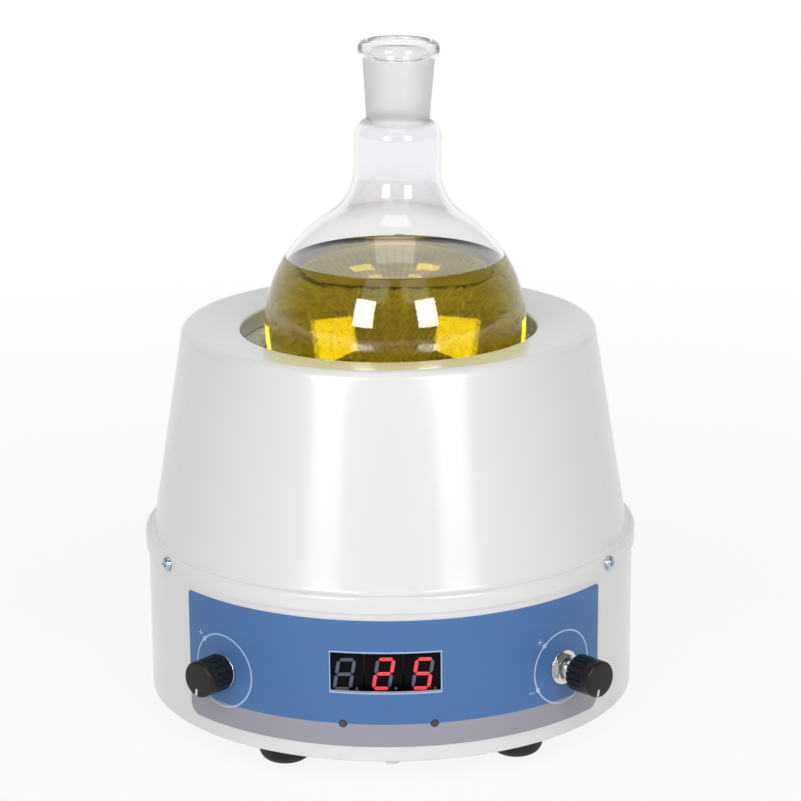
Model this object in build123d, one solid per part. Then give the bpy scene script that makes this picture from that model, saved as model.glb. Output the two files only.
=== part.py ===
from build123d import *

import os
from math import asin, atan2, cos, degrees, pi, radians, sin, sqrt, tan

# A digital heating mantle with a magnetic stirrer, holding a 500 ml round bottom flask.
# Millimetres, +Z up. The origin is on the bench under the housing's axis.
# The control panel faces -Y. Azimuths are in degrees from -Y, positive towards +X.

# Base housing: a rolled can with a welded ring that carries the bottom plate.
HOUSING_WALL = 1.2
HOUSING_BOTTOM = 8.1
RING_WIDTH = 7.3
RING_THICKNESS = 1.2
RING_GAP = 0.02
PLATE_THICKNESS = 1.2
PLATE_CLEARANCE = 0.2
EDGE_BREAK = 0.35

# Upper cover: spun sheet with a skirt, a ledge, a tapered wall, a rolled shoulder
# and a collar turned down into the mouth.
COVER_WALL = 1.0
SKIRT_FIT = 0.1
SKIRT_DEPTH = 6.3
LEDGE_HEIGHT = 73.5
LEDGE_WIDTH = 3.3
SKIRT_EDGE = 1.2
WALL_FOOT_FILLET = 1.6
WALL_TAPER = 13.4
SHOULDER_ROLL = 3.8
MOUTH_GAP = 6.8
MOUTH_HEIGHT = 153.4
MOUTH_SINK = 2.3
MOUTH_ROLL = 1.2
COLLAR_DEPTH = 7.0

# Screws that hold the cover, in open notches of the housing.
COVER_SCREW_COUNT = 3
COVER_SCREW_AZIMUTH = -61.2
COVER_SCREW_DROP = 2.8
COVER_SCREW_HEAD = 6.0
COVER_SCREW_HEAD_DEPTH = 2.2
COVER_SCREW_DOME = 1.5
COVER_SCREW_REACH = 7.0
COVER_SCREW_SEAT = 0.02
RECESS_WIDTH = 0.9
RECESS_LENGTH = 3.6
RECESS_DEPTH = 1.1
RECESS_TURN = 45.0
CLIP_NUT_WIDTH = 8.0
CLIP_NUT_DEPTH = 2.0
CLIP_NUT_DROP = 4.6

# M3 and M4 hardware.
M3_RADIUS = 1.5
M4_RADIUS = 2.0
HOLE_CLEARANCE = 0.15
THREAD_CLEARANCE = 0.05
PRESS_FIT = 0.02
M3_HEAD_RADIUS = 2.8
M3_HEAD_DEPTH = 1.9
M3_NUT_FLATS = 5.5
M3_NUT_HEIGHT = 2.4
M4_HEAD_RADIUS = 3.6
M4_HEAD_DEPTH = 2.4
M4_NUT_FLATS = 7.0
M4_NUT_HEIGHT = 3.2
END_PROUD = 0.8

# Rubber feet on a rectangle that is turned a little in the housing.
FOOT_TOP_RADIUS = 11.0
FOOT_FLOOR_RADIUS = 9.3
FOOT_EDGE = 3.0
FOOT_WELL_RADIUS = 5.0
FOOT_WELL_DEPTH = 4.0
FOOT_INSET = 14.3
FOOT_HALF_ANGLE = 32.5
FOOT_PATTERN_TURN = 2.85

# Bottom plate screws and ventilation slots.
PLATE_SCREW_COUNT = 4
PLATE_SCREW_INSET = 3.8
VENT_COUNT = 12
VENT_INNER_RADIUS = 30.0
VENT_LENGTH = 20.0
VENT_WIDTH = 3.2

# Flask: 500 ml round bottom, with a 24/29 ground socket and a beaded mouth.
SEAT_OFFSET_X = 2.8
BULB_RISE = 0.5
FLASK_LEAN_ANGLE = 1.4
BULB_RADIUS = 51.7
GLASS_WALL = 1.8
NECK_RADIUS = 17.0
NECK_FILLET = 23.4
NECK_RISE = 79.4
NECK_ROUND = 3.0
NECK_DROP = 4.0
SOCKET_FOOT_RADIUS = 12.3
SOCKET_TOP_RADIUS = 14.5
SOCKET_BORE_TOP = 12.0
SOCKET_TAPER = 0.1
SOCKET_GROUND_LENGTH = 29.0
BEAD_RADIUS = 16.1
BEAD_HEIGHT = 7.0
BEAD_ROUND = 2.2
FLASK_RISE = 120.5
LIQUID_RISE = 26.3
LIQUID_CLEARANCE = 0.15

# Woven heating bowl, its element and its insulation, nested in a spun pan.
SEAT_CLEARANCE = 0.3
BOWL_WALL = 3.0
BOWL_RIM_DROP = 0.2
BOWL_RIM_WIDTH = 5.0
BOWL_LIP_ROUND = 8.0
ELEMENT_DIAMETER = 2.6
ELEMENT_TURNS = 6
ELEMENT_FIRST_ANGLE = 24.0
ELEMENT_LAST_ANGLE = 68.0
LAYER_GAP = 0.1
INSULATION_WALL = 10.2
INSULATION_DROP = 0.6
PAN_WALL = 0.8
PAN_RIM_WIDTH = 10.1
PAN_EDGE_CLEARANCE = 2.4
PAN_RIM_DROP = 6.4
PAN_STUD_COUNT = 3
PAN_STUD_START = 0.0
PROBE_RADIUS = 1.5
PROBE_LENGTH = 22.0
PROBE_TURN = 3.5

# Printed control panel, glued round the front of the housing.
PANEL_THICKNESS = 0.35
PANEL_GLUE = 0.05
PANEL_BOTTOM_GAP = 6.1
PANEL_TOP_GAP = 3.1
PANEL_LEFT_AZIMUTH = -52.9
PANEL_RIGHT_AZIMUTH = 55.1
PANEL_TOP_CORNER = 1.5
PANEL_BOTTOM_CORNER = 5.0

# Display: a window with three single digit modules behind it.
WINDOW_CENTRE_X = -2.3
WINDOW_CENTRE_Z = 43.6
WINDOW_WIDTH = 41.4
WINDOW_HEIGHT = 15.5
DIGIT_COUNT = 3
DIGIT_PITCH = 14.7
DIGIT_GAP = 0.5
DIGIT_CENTRE_X = -3.0
DIGIT_CENTRE_Z = 41.6
MODULE_HEIGHT = 19.0
MODULE_DEPTH = 6.6
SEGMENT_HEIGHT = 12.9
SEGMENT_WIDTH = 7.3
SEGMENT_STROKE = 1.35
SEGMENT_GAP = 0.25
SEGMENT_DEPTH = 0.5
SEGMENT_SLANT_ANGLE = 9.0
SEGMENT_FIT = 0.03
POINT_RADIUS = 0.6
POINT_X = 4.6
LIT_BARS = ("", "abged", "afgcd")

# Display board on studs, with the two push switches.
BOARD_THICKNESS = 1.6
BOARD_WIDTH = 66.0
BOARD_BOTTOM = 15.0
BOARD_TOP = 56.0
BOARD_STUD_INSET = 4.0
BOARD_STUD_RADIUS = 1.5
BOARD_SHOULDER_RADIUS = 2.6
SWITCH_SIZE = 6.0
SWITCH_DEPTH = 3.4
BUTTON_RADIUS = 1.25
BUTTON_HOLE_CLEARANCE = 0.3
BUTTON_RUNNING_CLEARANCE = 0.05
BUTTON_HEIGHT = 23.1
SET_BUTTON_X = -18.4
RUN_BUTTON_X = 16.0
BUTTON_PROUD = 0.3
BUTTON_TRAVEL = 0.5
BUTTON_GUIDE = 1.2
BUTTON_DOME = 0.3

# Potentiometers with their washers, nuts and knobs.
SPEED_AZIMUTH = -41.5
HEAT_AZIMUTH = 42.3
KNOB_HEIGHT = 36.2
SPEED_KNOB_REACH = 1.9
HEAT_KNOB_REACH = 8.4
POT_RADIUS = 8.2
POT_DEPTH = 9.0
POT_TERMINALS = 3
POT_TERMINAL_PITCH = 5.0
POT_TERMINAL_WIDTH = 1.4
POT_TERMINAL_THICKNESS = 0.6
POT_TERMINAL_LENGTH = 5.5
POT_TERMINAL_INSET = 1.0
BUSHING_RADIUS = 3.5
BUSHING_REACH = 7.0
SHAFT_RADIUS = 3.0
SHAFT_CLEARANCE = 0.05
WASHER_RADIUS = 6.8
WASHER_THICKNESS = 0.8
POT_NUT_FLATS = 10.0
POT_NUT_HEIGHT = 2.0
KNOB_RADIUS = 7.1
KNOB_LENGTH = 11.8
KNOB_CAP = 1.2
KNOB_BORE_RADIUS = 6.1
KNOB_BORE_DEPTH = 5.5
KNOB_FLUTES = 18
KNOB_FLUTE_RADIUS = 0.45
KNOB_FLUTE_LENGTH = 7.2
KNOB_EDGE = 0.6

# Power inlet and rocker switch in the back of the housing.
INLET_AZIMUTH = 166.0
INLET_HEIGHT = 36.0
INLET_FLANGE_WIDTH = 30.0
INLET_FLANGE_HEIGHT = 26.0
INLET_FLANGE_THICKNESS = 2.6
INLET_BODY_WIDTH = 26.6
INLET_BODY_HEIGHT = 19.4
INLET_BODY_DEPTH = 18.0
INLET_SOCKET_WIDTH = 23.6
INLET_SOCKET_HEIGHT = 15.8
INLET_SOCKET_DEPTH = 16.0
INLET_SOCKET_CHAMFER = 4.4
INLET_CORNER = 3.0
PIN_WIDTH = 2.0
PIN_HEIGHT = 4.0
PIN_PITCH = 7.0
PIN_RISE = 3.0
PIN_LENGTH = 14.0
PIN_TAIL = 6.0
ROCKER_AZIMUTH = 194.0
ROCKER_FRAME_WIDTH = 15.0
ROCKER_FRAME_HEIGHT = 21.0
ROCKER_FRAME_THICKNESS = 2.0
ROCKER_BODY_WIDTH = 13.0
ROCKER_BODY_HEIGHT = 19.0
ROCKER_BODY_DEPTH = 14.0
ROCKER_WIDTH = 9.6
ROCKER_LENGTH = 15.0
ROCKER_WELL_DEPTH = 9.0
ROCKER_CLEARANCE = 0.4
ROCKER_END_CLEARANCE = 0.8
ROCKER_KEEL_INSET = 1.5
ROCKER_KEEL_DEPTH = 3.64
ROCKER_PIVOT_DEPTH = 3.0
ROCKER_PIVOT_RADIUS = 1.0
ROCKER_PIVOT_CLEARANCE = 0.05
ROCKER_THROW_ANGLE = 16.0
CUT_CLEARANCE = 0.2
CUT_OVERRUN = 1.0

# Stirrer: a motor hung from a bridge, with a magnet carrier under the pan.
BRIDGE_SHEET = 1.5
BRIDGE_HALF_SPAN = 25.0
BRIDGE_WIDTH = 40.0
BRIDGE_FOOT = 12.0
BRIDGE_BEND = 3.0
MOTOR_RADIUS = 18.0
MOTOR_LENGTH = 33.0
MOTOR_BOSS_RADIUS = 5.0
MOTOR_BOSS_HEIGHT = 2.6
MOTOR_SCREW_CIRCLE = 12.5
MOTOR_SHAFT_RADIUS = 1.5
MOTOR_SHAFT_DEPTH = 12.0
MOTOR_SHAFT_CLEARANCE = 0.05
CARRIER_RADIUS = 22.0
CARRIER_THICKNESS = 5.0
CARRIER_HUB_RADIUS = 5.0
CARRIER_HUB_HEIGHT = 3.5
CARRIER_FLOOR_GAP = 1.2
STIRRER_GAP = 2.0
MAGNET_RADIUS = 6.0
MAGNET_HEIGHT = 6.0
MAGNET_SPREAD = 13.5
MAGNET_POCKET_DEPTH = 3.5
MAGNET_FIT = 0.03

# Power board on pillars, with its larger components.
POWER_BOARD_WIDTH = 44.0
POWER_BOARD_INSET = 42.0
POWER_BOARD_Y = 8.0
PILLAR_HEIGHT = 6.0
PILLAR_RADIUS = 2.5
PILLAR_INSET = 4.0
TRANSFORMER_WIDTH = 30.0
TRANSFORMER_LENGTH = 34.0
TRANSFORMER_HEIGHT = 26.0
TRANSFORMER_CORE_WIDTH = 16.0
HEATSINK_WIDTH = 24.0
HEATSINK_DEPTH = 10.0
HEATSINK_HEIGHT = 24.0
HEATSINK_FINS = 5
HEATSINK_FIN_THICKNESS = 1.2
HEATSINK_BASE = 2.0
CAPACITOR_RADIUS = 5.0
CAPACITOR_HEIGHT = 14.0
COMPONENT_SPACING = 3.0

# Sizes that follow from the ones above. The flask sets the nest, and the nest sets the housing.
MOUTH_RADIUS = BULB_RADIUS + MOUTH_GAP
COLLAR_BOTTOM = MOUTH_HEIGHT - COLLAR_DEPTH
SHOULDER_HEIGHT = MOUTH_HEIGHT + MOUTH_SINK
BULB_HEIGHT = MOUTH_HEIGHT + BULB_RISE
LIQUID_HEIGHT = BULB_HEIGHT + LIQUID_RISE
BOWL_TOP = COLLAR_BOTTOM - BOWL_RIM_DROP
BOWL_RADIUS = BULB_RADIUS + SEAT_CLEARANCE
BOWL_OUTER_RADIUS = BOWL_RADIUS + BOWL_WALL
BOWL_RIM_RADIUS = MOUTH_RADIUS + BOWL_RIM_WIDTH
ELEMENT_STEP = (ELEMENT_LAST_ANGLE - ELEMENT_FIRST_ANGLE) / (ELEMENT_TURNS - 1)
PROBE_TILT = 90 - ELEMENT_FIRST_ANGLE - ELEMENT_STEP * PROBE_TURN
ELEMENT_PATH_RADIUS = BOWL_OUTER_RADIUS + LAYER_GAP + ELEMENT_DIAMETER / 2
INSULATION_INNER_RADIUS = ELEMENT_PATH_RADIUS + ELEMENT_DIAMETER / 2 + LAYER_GAP
INSULATION_OUTER_RADIUS = INSULATION_INNER_RADIUS + INSULATION_WALL
INSULATION_TOP = BOWL_TOP - BOWL_WALL - INSULATION_DROP
PAN_INNER_RADIUS = INSULATION_OUTER_RADIUS + LAYER_GAP
PAN_RADIUS = PAN_INNER_RADIUS + PAN_WALL
PAN_RIM_HEIGHT = MOUTH_HEIGHT - PAN_RIM_DROP
PAN_RIM_RADIUS = PAN_RADIUS + PAN_RIM_WIDTH
PAN_STUD_CIRCLE = PAN_RADIUS + PAN_RIM_WIDTH / 2
SHOULDER_RADIUS = PAN_RIM_RADIUS + PAN_EDGE_CLEARANCE
WALL_FOOT_RADIUS = SHOULDER_RADIUS + WALL_TAPER
SKIRT_RADIUS = WALL_FOOT_RADIUS + LEDGE_WIDTH
SKIRT_BOTTOM = LEDGE_HEIGHT - SKIRT_DEPTH
COVER_SCREW_HEIGHT = LEDGE_HEIGHT - COVER_SCREW_DROP
HOUSING_RADIUS = SKIRT_RADIUS - COVER_WALL - SKIRT_FIT
HOUSING_INNER_RADIUS = HOUSING_RADIUS - HOUSING_WALL
HOUSING_TOP = LEDGE_HEIGHT - COVER_WALL
PLATE_TOP = HOUSING_BOTTOM + PLATE_THICKNESS
RING_TOP = PLATE_TOP + RING_THICKNESS
PLATE_SCREW_CIRCLE = HOUSING_INNER_RADIUS - PLATE_SCREW_INSET
FOOT_CIRCLE = HOUSING_RADIUS - FOOT_INSET
PANEL_TOP = SKIRT_BOTTOM - PANEL_TOP_GAP
PANEL_BOTTOM = HOUSING_BOTTOM + PANEL_BOTTOM_GAP
PANEL_INNER_RADIUS = HOUSING_RADIUS + PANEL_GLUE
PANEL_RADIUS = PANEL_INNER_RADIUS + PANEL_THICKNESS
MODULE_WIDTH = DIGIT_PITCH - DIGIT_GAP
MODULE_EDGE_X = abs(DIGIT_CENTRE_X) + DIGIT_PITCH + MODULE_WIDTH / 2
DISPLAY_FACE = sqrt(HOUSING_INNER_RADIUS**2 - MODULE_EDGE_X**2) - LAYER_GAP
BOARD_FACE = DISPLAY_FACE - MODULE_DEPTH
BOARD_BACK = BOARD_FACE - BOARD_THICKNESS
BUTTON_HOLE_RADIUS = BUTTON_RADIUS + BUTTON_HOLE_CLEARANCE
SPEED_KNOB_BASE = HOUSING_RADIUS + SPEED_KNOB_REACH
HEAT_KNOB_BASE = HOUSING_RADIUS + HEAT_KNOB_REACH
BUSHING_END = HOUSING_RADIUS + BUSHING_REACH
WASHER_BACK = PANEL_RADIUS + PANEL_GLUE
NUT_BACK = WASHER_BACK + WASHER_THICKNESS
POT_FACE = sqrt(HOUSING_INNER_RADIUS**2 - POT_RADIUS**2) - PANEL_GLUE
MAGNET_TOP = BULB_HEIGHT - PAN_RADIUS - STIRRER_GAP
SHAFT_TOP = MAGNET_TOP - MAGNET_HEIGHT + MAGNET_POCKET_DEPTH
CARRIER_BOTTOM = SHAFT_TOP - CARRIER_THICKNESS - CARRIER_HUB_HEIGHT
MOTOR_TOP = CARRIER_BOTTOM - CARRIER_FLOOR_GAP - MOTOR_BOSS_HEIGHT
BRIDGE_TOP = MOTOR_TOP + BRIDGE_SHEET
POWER_BOARD_X = POWER_BOARD_INSET - HOUSING_RADIUS
POWER_BOARD_LENGTH = (2 * (PILLAR_INSET + PILLAR_RADIUS) + TRANSFORMER_LENGTH + 2 * CAPACITOR_RADIUS
                      + HEATSINK_DEPTH + 2 * COMPONENT_SPACING)
POWER_BOARD_BOTTOM = PLATE_TOP + PILLAR_HEIGHT
POWER_BOARD_TOP = POWER_BOARD_BOTTOM + BOARD_THICKNESS


def save(name, *solids):
    """Write one node's solids to its STEP file."""
    shape = solids[0] if len(solids) == 1 else Compound(children=list(solids))
    export_step(shape, "parts/" + name + ".step")


def facing(azimuth, distance, height):
    """Plane whose normal points away from the axis at an azimuth, with local +Y up."""
    turn = radians(azimuth)
    outward = Vector(sin(turn), -cos(turn), 0)
    origin = outward * distance + Vector(0, 0, height)
    return Plane(origin=origin, x_dir=(cos(turn), sin(turn), 0), z_dir=outward)


def front(x, height):
    """Plane through the axis' depth that faces straight to the front."""
    return Plane(origin=(x, 0, height), x_dir=(1, 0, 0), z_dir=(0, -1, 0))


def above(spot, height):
    """Level plane that faces up, over a spot."""
    return Plane(origin=(spot.X, spot.Y, height), x_dir=(1, 0, 0), z_dir=(0, 0, 1))


def below(spot, height):
    """Level plane that faces down, under a spot."""
    return Plane(origin=(spot.X, spot.Y, height), x_dir=(1, 0, 0), z_dir=(0, 0, -1))


def spun(points, radii=0.0, seat_x=0.0):
    """Solid of revolution from closed (radius, height) corners with rounded ones."""
    outline = FilletPolyline(*points, radius=radii, close=True)
    return Pos(seat_x, 0, 0) * revolve(make_face(Plane.XZ * outline), Axis.Z)


def ring_wall(outer, inner, bottom, top):
    """Upright ring about the axis."""
    return Pos(0, 0, bottom) * extrude(Circle(outer) - Circle(inner), top - bottom)


def rod(plane, radius, start, end):
    """Round bar along a plane's normal, from start to end."""
    return extrude(plane.offset(start) * Circle(radius), end - start)


def bar(plane, width, height, start, end):
    """Rectangular bar along a plane's normal, from start to end."""
    return extrude(plane.offset(start) * Rectangle(width, height), end - start)


def hex_nut(plane, flats, height, bore):
    """Hex nut that sits on a plane."""
    corner = flats / sqrt(3)
    return extrude(plane * (RegularPolygon(corner, 6) - Circle(bore)), height)


def screw(plane, head_radius, head_depth, shank_radius, length):
    """Plain headed screw on a plane; its shank runs back along the normal."""
    return rod(plane, head_radius, 0, head_depth) + rod(plane, shank_radius, -length, 0)


def plate_fastener(spot, length):
    """M3 screw up through the bottom plate."""
    return screw(below(spot, HOUSING_BOTTOM), M3_HEAD_RADIUS, M3_HEAD_DEPTH, M3_RADIUS, length)


def bent_sheet(path, radii, wall):
    """Section of a bent sheet: a path and its copy, one wall to the left of it."""
    moved = []
    turns = []
    last = len(path) - 1
    for index, (x, y) in enumerate(path):
        before = path[index - 1] if index else None
        after = path[index + 1] if index < last else None
        heading_in = atan2(y - before[1], x - before[0]) if before else None
        heading_out = atan2(after[1] - y, after[0] - x) if after else heading_in
        heading_in = heading_out if heading_in is None else heading_in
        turn = (heading_out - heading_in + pi) % (2 * pi) - pi
        reach = wall / cos(turn / 2)
        left = heading_in + turn / 2 + pi / 2
        moved.append((x + reach * cos(left), y + reach * sin(left)))
        turns.append(turn)
    inner_radii = [max(radius - wall if turn > 0 else radius + wall, 0.0)
                   for radius, turn in zip(radii, turns[1:-1])]
    corners = list(path) + moved[::-1]
    all_radii = [0.0, *radii, 0.0, 0.0, *inner_radii[::-1], 0.0]
    return make_face(FilletPolyline(*corners, radius=all_radii, close=True))


def cover_screw_places():
    """Planes on the skirt, one for each cover screw."""
    step = 360 / COVER_SCREW_COUNT
    return [facing(COVER_SCREW_AZIMUTH + step * index, SKIRT_RADIUS, COVER_SCREW_HEIGHT)
            for index in range(COVER_SCREW_COUNT)]


def foot_places():
    """Named centres of the four feet."""
    azimuths = {"front_left": -FOOT_HALF_ANGLE, "front_right": FOOT_HALF_ANGLE,
                "rear_left": FOOT_HALF_ANGLE - 180, "rear_right": 180 - FOOT_HALF_ANGLE}
    return {"foot_" + name: Vector(0, -FOOT_CIRCLE, 0).rotate(Axis.Z, FOOT_PATTERN_TURN + azimuth)
            for name, azimuth in azimuths.items()}


def circle_places(radius, count, start=0.0):
    """Centres evenly spaced on a circle, the first at an azimuth."""
    return [Vector(0, -radius, 0).rotate(Axis.Z, start + 360 / count * index)
            for index in range(count)]


def rectangle_places(centre_x, centre_y, half_x, half_y):
    """Centres at a rectangle's corners."""
    return [Vector(centre_x + side * half_x, centre_y + end * half_y, 0)
            for side in (-1, 1) for end in (-1, 1)]


def plate_screw_places():
    """Centres of the screws between the bottom plate and the welded ring."""
    return circle_places(PLATE_SCREW_CIRCLE, PLATE_SCREW_COUNT)


def bridge_screw_places():
    """Centres of the screws through the bridge's feet."""
    return rectangle_places(0, 0, BRIDGE_HALF_SPAN + BRIDGE_FOOT / 2, BRIDGE_WIDTH / 2 - BRIDGE_FOOT / 2)


def pillar_places():
    """Centres of the power board's pillars."""
    return rectangle_places(POWER_BOARD_X, POWER_BOARD_Y, POWER_BOARD_WIDTH / 2 - PILLAR_INSET,
                            POWER_BOARD_LENGTH / 2 - PILLAR_INSET)


def pan_stud_places():
    """Centres of the studs that the pan hangs from."""
    return circle_places(PAN_STUD_CIRCLE, PAN_STUD_COUNT, PAN_STUD_START)


def board_stud_places():
    """Front planes at the display board's corners."""
    reach = BOARD_WIDTH / 2 - BOARD_STUD_INSET
    heights = (BOARD_BOTTOM + BOARD_STUD_INSET, BOARD_TOP - BOARD_STUD_INSET)
    return [front(WINDOW_CENTRE_X + side * reach, height) for side in (-1, 1) for height in heights]


def button_places():
    """Named front planes through the two buttons' axes."""
    return {"set": front(SET_BUTTON_X, BUTTON_HEIGHT), "run": front(RUN_BUTTON_X, BUTTON_HEIGHT)}


def pot_places():
    """Named radial planes through the two controls' axes."""
    return {"speed": facing(SPEED_AZIMUTH, 0, KNOB_HEIGHT), "heat": facing(HEAT_AZIMUTH, 0, KNOB_HEIGHT)}


def front_cutters():
    """Everything that goes through the front: window, controls and buttons."""
    outside = PANEL_RADIUS + CUT_OVERRUN
    window = front(WINDOW_CENTRE_X, WINDOW_CENTRE_Z)
    cutters = [bar(window, WINDOW_WIDTH, WINDOW_HEIGHT, BOARD_FACE, outside)]
    for place in pot_places().values():
        cutters.append(rod(place, BUSHING_RADIUS + HOLE_CLEARANCE, POT_FACE - CUT_OVERRUN, outside))
    for place in button_places().values():
        cutters.append(rod(place, BUTTON_HOLE_RADIUS, BOARD_FACE, outside))
    return cutters


def base_housing():
    """Can with its front openings, rear cut-outs and cover notches."""
    body = spun([(HOUSING_INNER_RADIUS, HOUSING_BOTTOM), (HOUSING_RADIUS - EDGE_BREAK, HOUSING_BOTTOM),
                 (HOUSING_RADIUS, HOUSING_BOTTOM + EDGE_BREAK), (HOUSING_RADIUS, HOUSING_TOP - EDGE_BREAK),
                 (HOUSING_RADIUS - EDGE_BREAK, HOUSING_TOP), (HOUSING_INNER_RADIUS, HOUSING_TOP)])
    for cutter in front_cutters():
        body -= cutter
    notch = M3_RADIUS + HOLE_CLEARANCE
    rise = HOUSING_TOP + CUT_OVERRUN - COVER_SCREW_HEIGHT
    for place in cover_screw_places():
        back = place.offset(-CLIP_NUT_WIDTH)
        opening = Circle(notch) + Pos(0, rise / 2) * Rectangle(2 * notch, rise)
        body -= extrude(back * opening, CLIP_NUT_WIDTH)
    inlet = facing(INLET_AZIMUTH, 0, INLET_HEIGHT)
    switch = facing(ROCKER_AZIMUTH, 0, INLET_HEIGHT)
    inside = HOUSING_RADIUS - INLET_FLANGE_WIDTH / 2
    cut = 2 * CUT_CLEARANCE
    outside = HOUSING_RADIUS + CUT_OVERRUN
    body -= bar(inlet, INLET_BODY_WIDTH + cut, INLET_BODY_HEIGHT + cut, inside, outside)
    body -= bar(switch, ROCKER_BODY_WIDTH + cut, ROCKER_BODY_HEIGHT + cut, inside, outside)
    return body


def plate_ring():
    """Flat ring welded into the foot of the can, tapped for the bottom plate's screws."""
    inner = HOUSING_INNER_RADIUS - RING_WIDTH
    ring = ring_wall(HOUSING_INNER_RADIUS - RING_GAP, inner, PLATE_TOP, RING_TOP)
    for spot in plate_screw_places():
        ring -= rod(above(spot, PLATE_TOP), M3_RADIUS + THREAD_CLEARANCE, -CUT_OVERRUN,
                    RING_THICKNESS + CUT_OVERRUN)
    return ring


def bottom_plate():
    """Disc with ventilation slots and holes for feet, bridge, pillars and its own screws."""
    face = Circle(HOUSING_INNER_RADIUS - PLATE_CLEARANCE)
    slot = Pos(VENT_INNER_RADIUS + VENT_LENGTH / 2, 0) * SlotOverall(VENT_LENGTH, VENT_WIDTH)
    for index in range(VENT_COUNT):
        face -= Rot(0, 0, 360 / VENT_COUNT * (index + 0.5)) * slot
    for spot in plate_screw_places() + bridge_screw_places() + pillar_places():
        face -= Pos(spot.X, spot.Y) * Circle(M3_RADIUS + HOLE_CLEARANCE)
    for spot in foot_places().values():
        face -= Pos(spot.X, spot.Y) * Circle(M4_RADIUS + HOLE_CLEARANCE)
    return Pos(0, 0, HOUSING_BOTTOM) * extrude(face, PLATE_THICKNESS)


def rubber_foot(spot):
    """Tapered foot with a well for its screw."""
    bore = M4_RADIUS + HOLE_CLEARANCE
    outline = [(bore, HOUSING_BOTTOM), (FOOT_TOP_RADIUS, HOUSING_BOTTOM), (FOOT_FLOOR_RADIUS, 0),
               (FOOT_WELL_RADIUS, 0), (FOOT_WELL_RADIUS, FOOT_WELL_DEPTH), (bore, FOOT_WELL_DEPTH)]
    return Pos(spot.X, spot.Y, 0) * spun(outline, [0, 0, FOOT_EDGE, 0, 0, 0])


def upper_cover():
    """Spun cover: skirt, ledge, tapered wall, rolled shoulder and turned-down collar."""
    path = [(SKIRT_RADIUS, SKIRT_BOTTOM), (SKIRT_RADIUS, LEDGE_HEIGHT), (WALL_FOOT_RADIUS, LEDGE_HEIGHT),
            (SHOULDER_RADIUS, SHOULDER_HEIGHT), (MOUTH_RADIUS, MOUTH_HEIGHT), (MOUTH_RADIUS, COLLAR_BOTTOM)]
    section = bent_sheet(path, [SKIRT_EDGE, WALL_FOOT_FILLET, SHOULDER_ROLL, MOUTH_ROLL], COVER_WALL)
    cover = revolve(Plane.XZ * section, Axis.Z)
    for place in cover_screw_places():
        cover -= rod(place, M3_RADIUS + HOLE_CLEARANCE, -2 * COVER_WALL, CUT_OVERRUN)
    return cover


def cover_screw(place):
    """Pan head screw with a cross recess."""
    head = Pos(0, 0, COVER_SCREW_HEAD_DEPTH / 2) * Cylinder(COVER_SCREW_HEAD / 2, COVER_SCREW_HEAD_DEPTH)
    head = fillet(head.edges().sort_by(Axis.Z)[-1], COVER_SCREW_DOME)
    arm = Box(RECESS_LENGTH, RECESS_WIDTH, 2 * RECESS_DEPTH)
    for turn in (RECESS_TURN, RECESS_TURN + 90):
        head -= Pos(0, 0, COVER_SCREW_HEAD_DEPTH) * Rot(0, 0, turn) * arm
    seat = place.offset(COVER_SCREW_SEAT)
    return seat * head + rod(seat, M3_RADIUS, -COVER_SCREW_REACH, 0)


def clip_nut(place):
    """Square nut behind a notch of the housing."""
    face = sqrt(HOUSING_INNER_RADIUS**2 - (CLIP_NUT_WIDTH / 2)**2) - LAYER_GAP - SKIRT_RADIUS
    top = HOUSING_TOP - LAYER_GAP - COVER_SCREW_HEIGHT
    height = top + CLIP_NUT_DROP
    blank = Pos(0, top - height / 2) * Rectangle(CLIP_NUT_WIDTH, height)
    blank -= Circle(M3_RADIUS + THREAD_CLEARANCE)
    return extrude(place.offset(face - CLIP_NUT_DEPTH) * blank, CLIP_NUT_DEPTH)


def bulb_arcs(radius, neck_radius, sweep):
    """Bulb arc and neck arc of one glass face, with their common tangent, and the neck's foot."""
    centre_x = neck_radius + sweep
    foot = sqrt((radius + sweep)**2 - centre_x**2)
    turn = degrees(atan2(foot, centre_x))
    bulb = CenterArc((0, 0), radius, -90, 90 + turn)
    neck = CenterArc((centre_x, foot), sweep, 180, turn)
    return bulb, neck, (neck_radius, foot)


def flask():
    """Blown flask: bulb, neck, shoulder, ground socket and beaded mouth, leaning a little."""
    inner_radius = BULB_RADIUS - GLASS_WALL
    inner_neck_radius = NECK_RADIUS - GLASS_WALL
    outer_bulb, outer_neck, outer_foot = bulb_arcs(BULB_RADIUS, NECK_RADIUS, NECK_FILLET)
    inner_bulb, inner_neck, inner_foot = bulb_arcs(inner_radius, inner_neck_radius, NECK_FILLET + GLASS_WALL)
    top = FLASK_RISE
    neck = NECK_RISE
    bore_foot = SOCKET_BORE_TOP - SOCKET_GROUND_LENGTH * SOCKET_TAPER / 2
    bore_floor = top - SOCKET_GROUND_LENGTH
    ledge = min(neck, bore_floor) - NECK_DROP
    corners = [outer_foot, (NECK_RADIUS, neck), (SOCKET_FOOT_RADIUS, neck),
               (SOCKET_TOP_RADIUS, top - BEAD_HEIGHT), (BEAD_RADIUS, top - BEAD_HEIGHT + BEAD_ROUND),
               (BEAD_RADIUS, top), (SOCKET_BORE_TOP, top), (bore_foot, bore_floor),
               (bore_foot, ledge), (inner_neck_radius, ledge - NECK_DROP), inner_foot]
    wall = FilletPolyline(*corners, radius=[NECK_ROUND, 0, 0, 0, BEAD_ROUND, 0, 0, 0, 0])
    floor = Line((0, -inner_radius), (0, -BULB_RADIUS))
    lines = (outer_bulb, outer_neck, wall, inner_neck, inner_bulb, floor)
    section = make_face([edge for line in lines for edge in line.edges()])
    solid = revolve(Plane.XZ * section, Axis.Z)
    return Pos(SEAT_OFFSET_X, 0, BULB_HEIGHT) * Rot(0, FLASK_LEAN_ANGLE, 0) * solid


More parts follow.
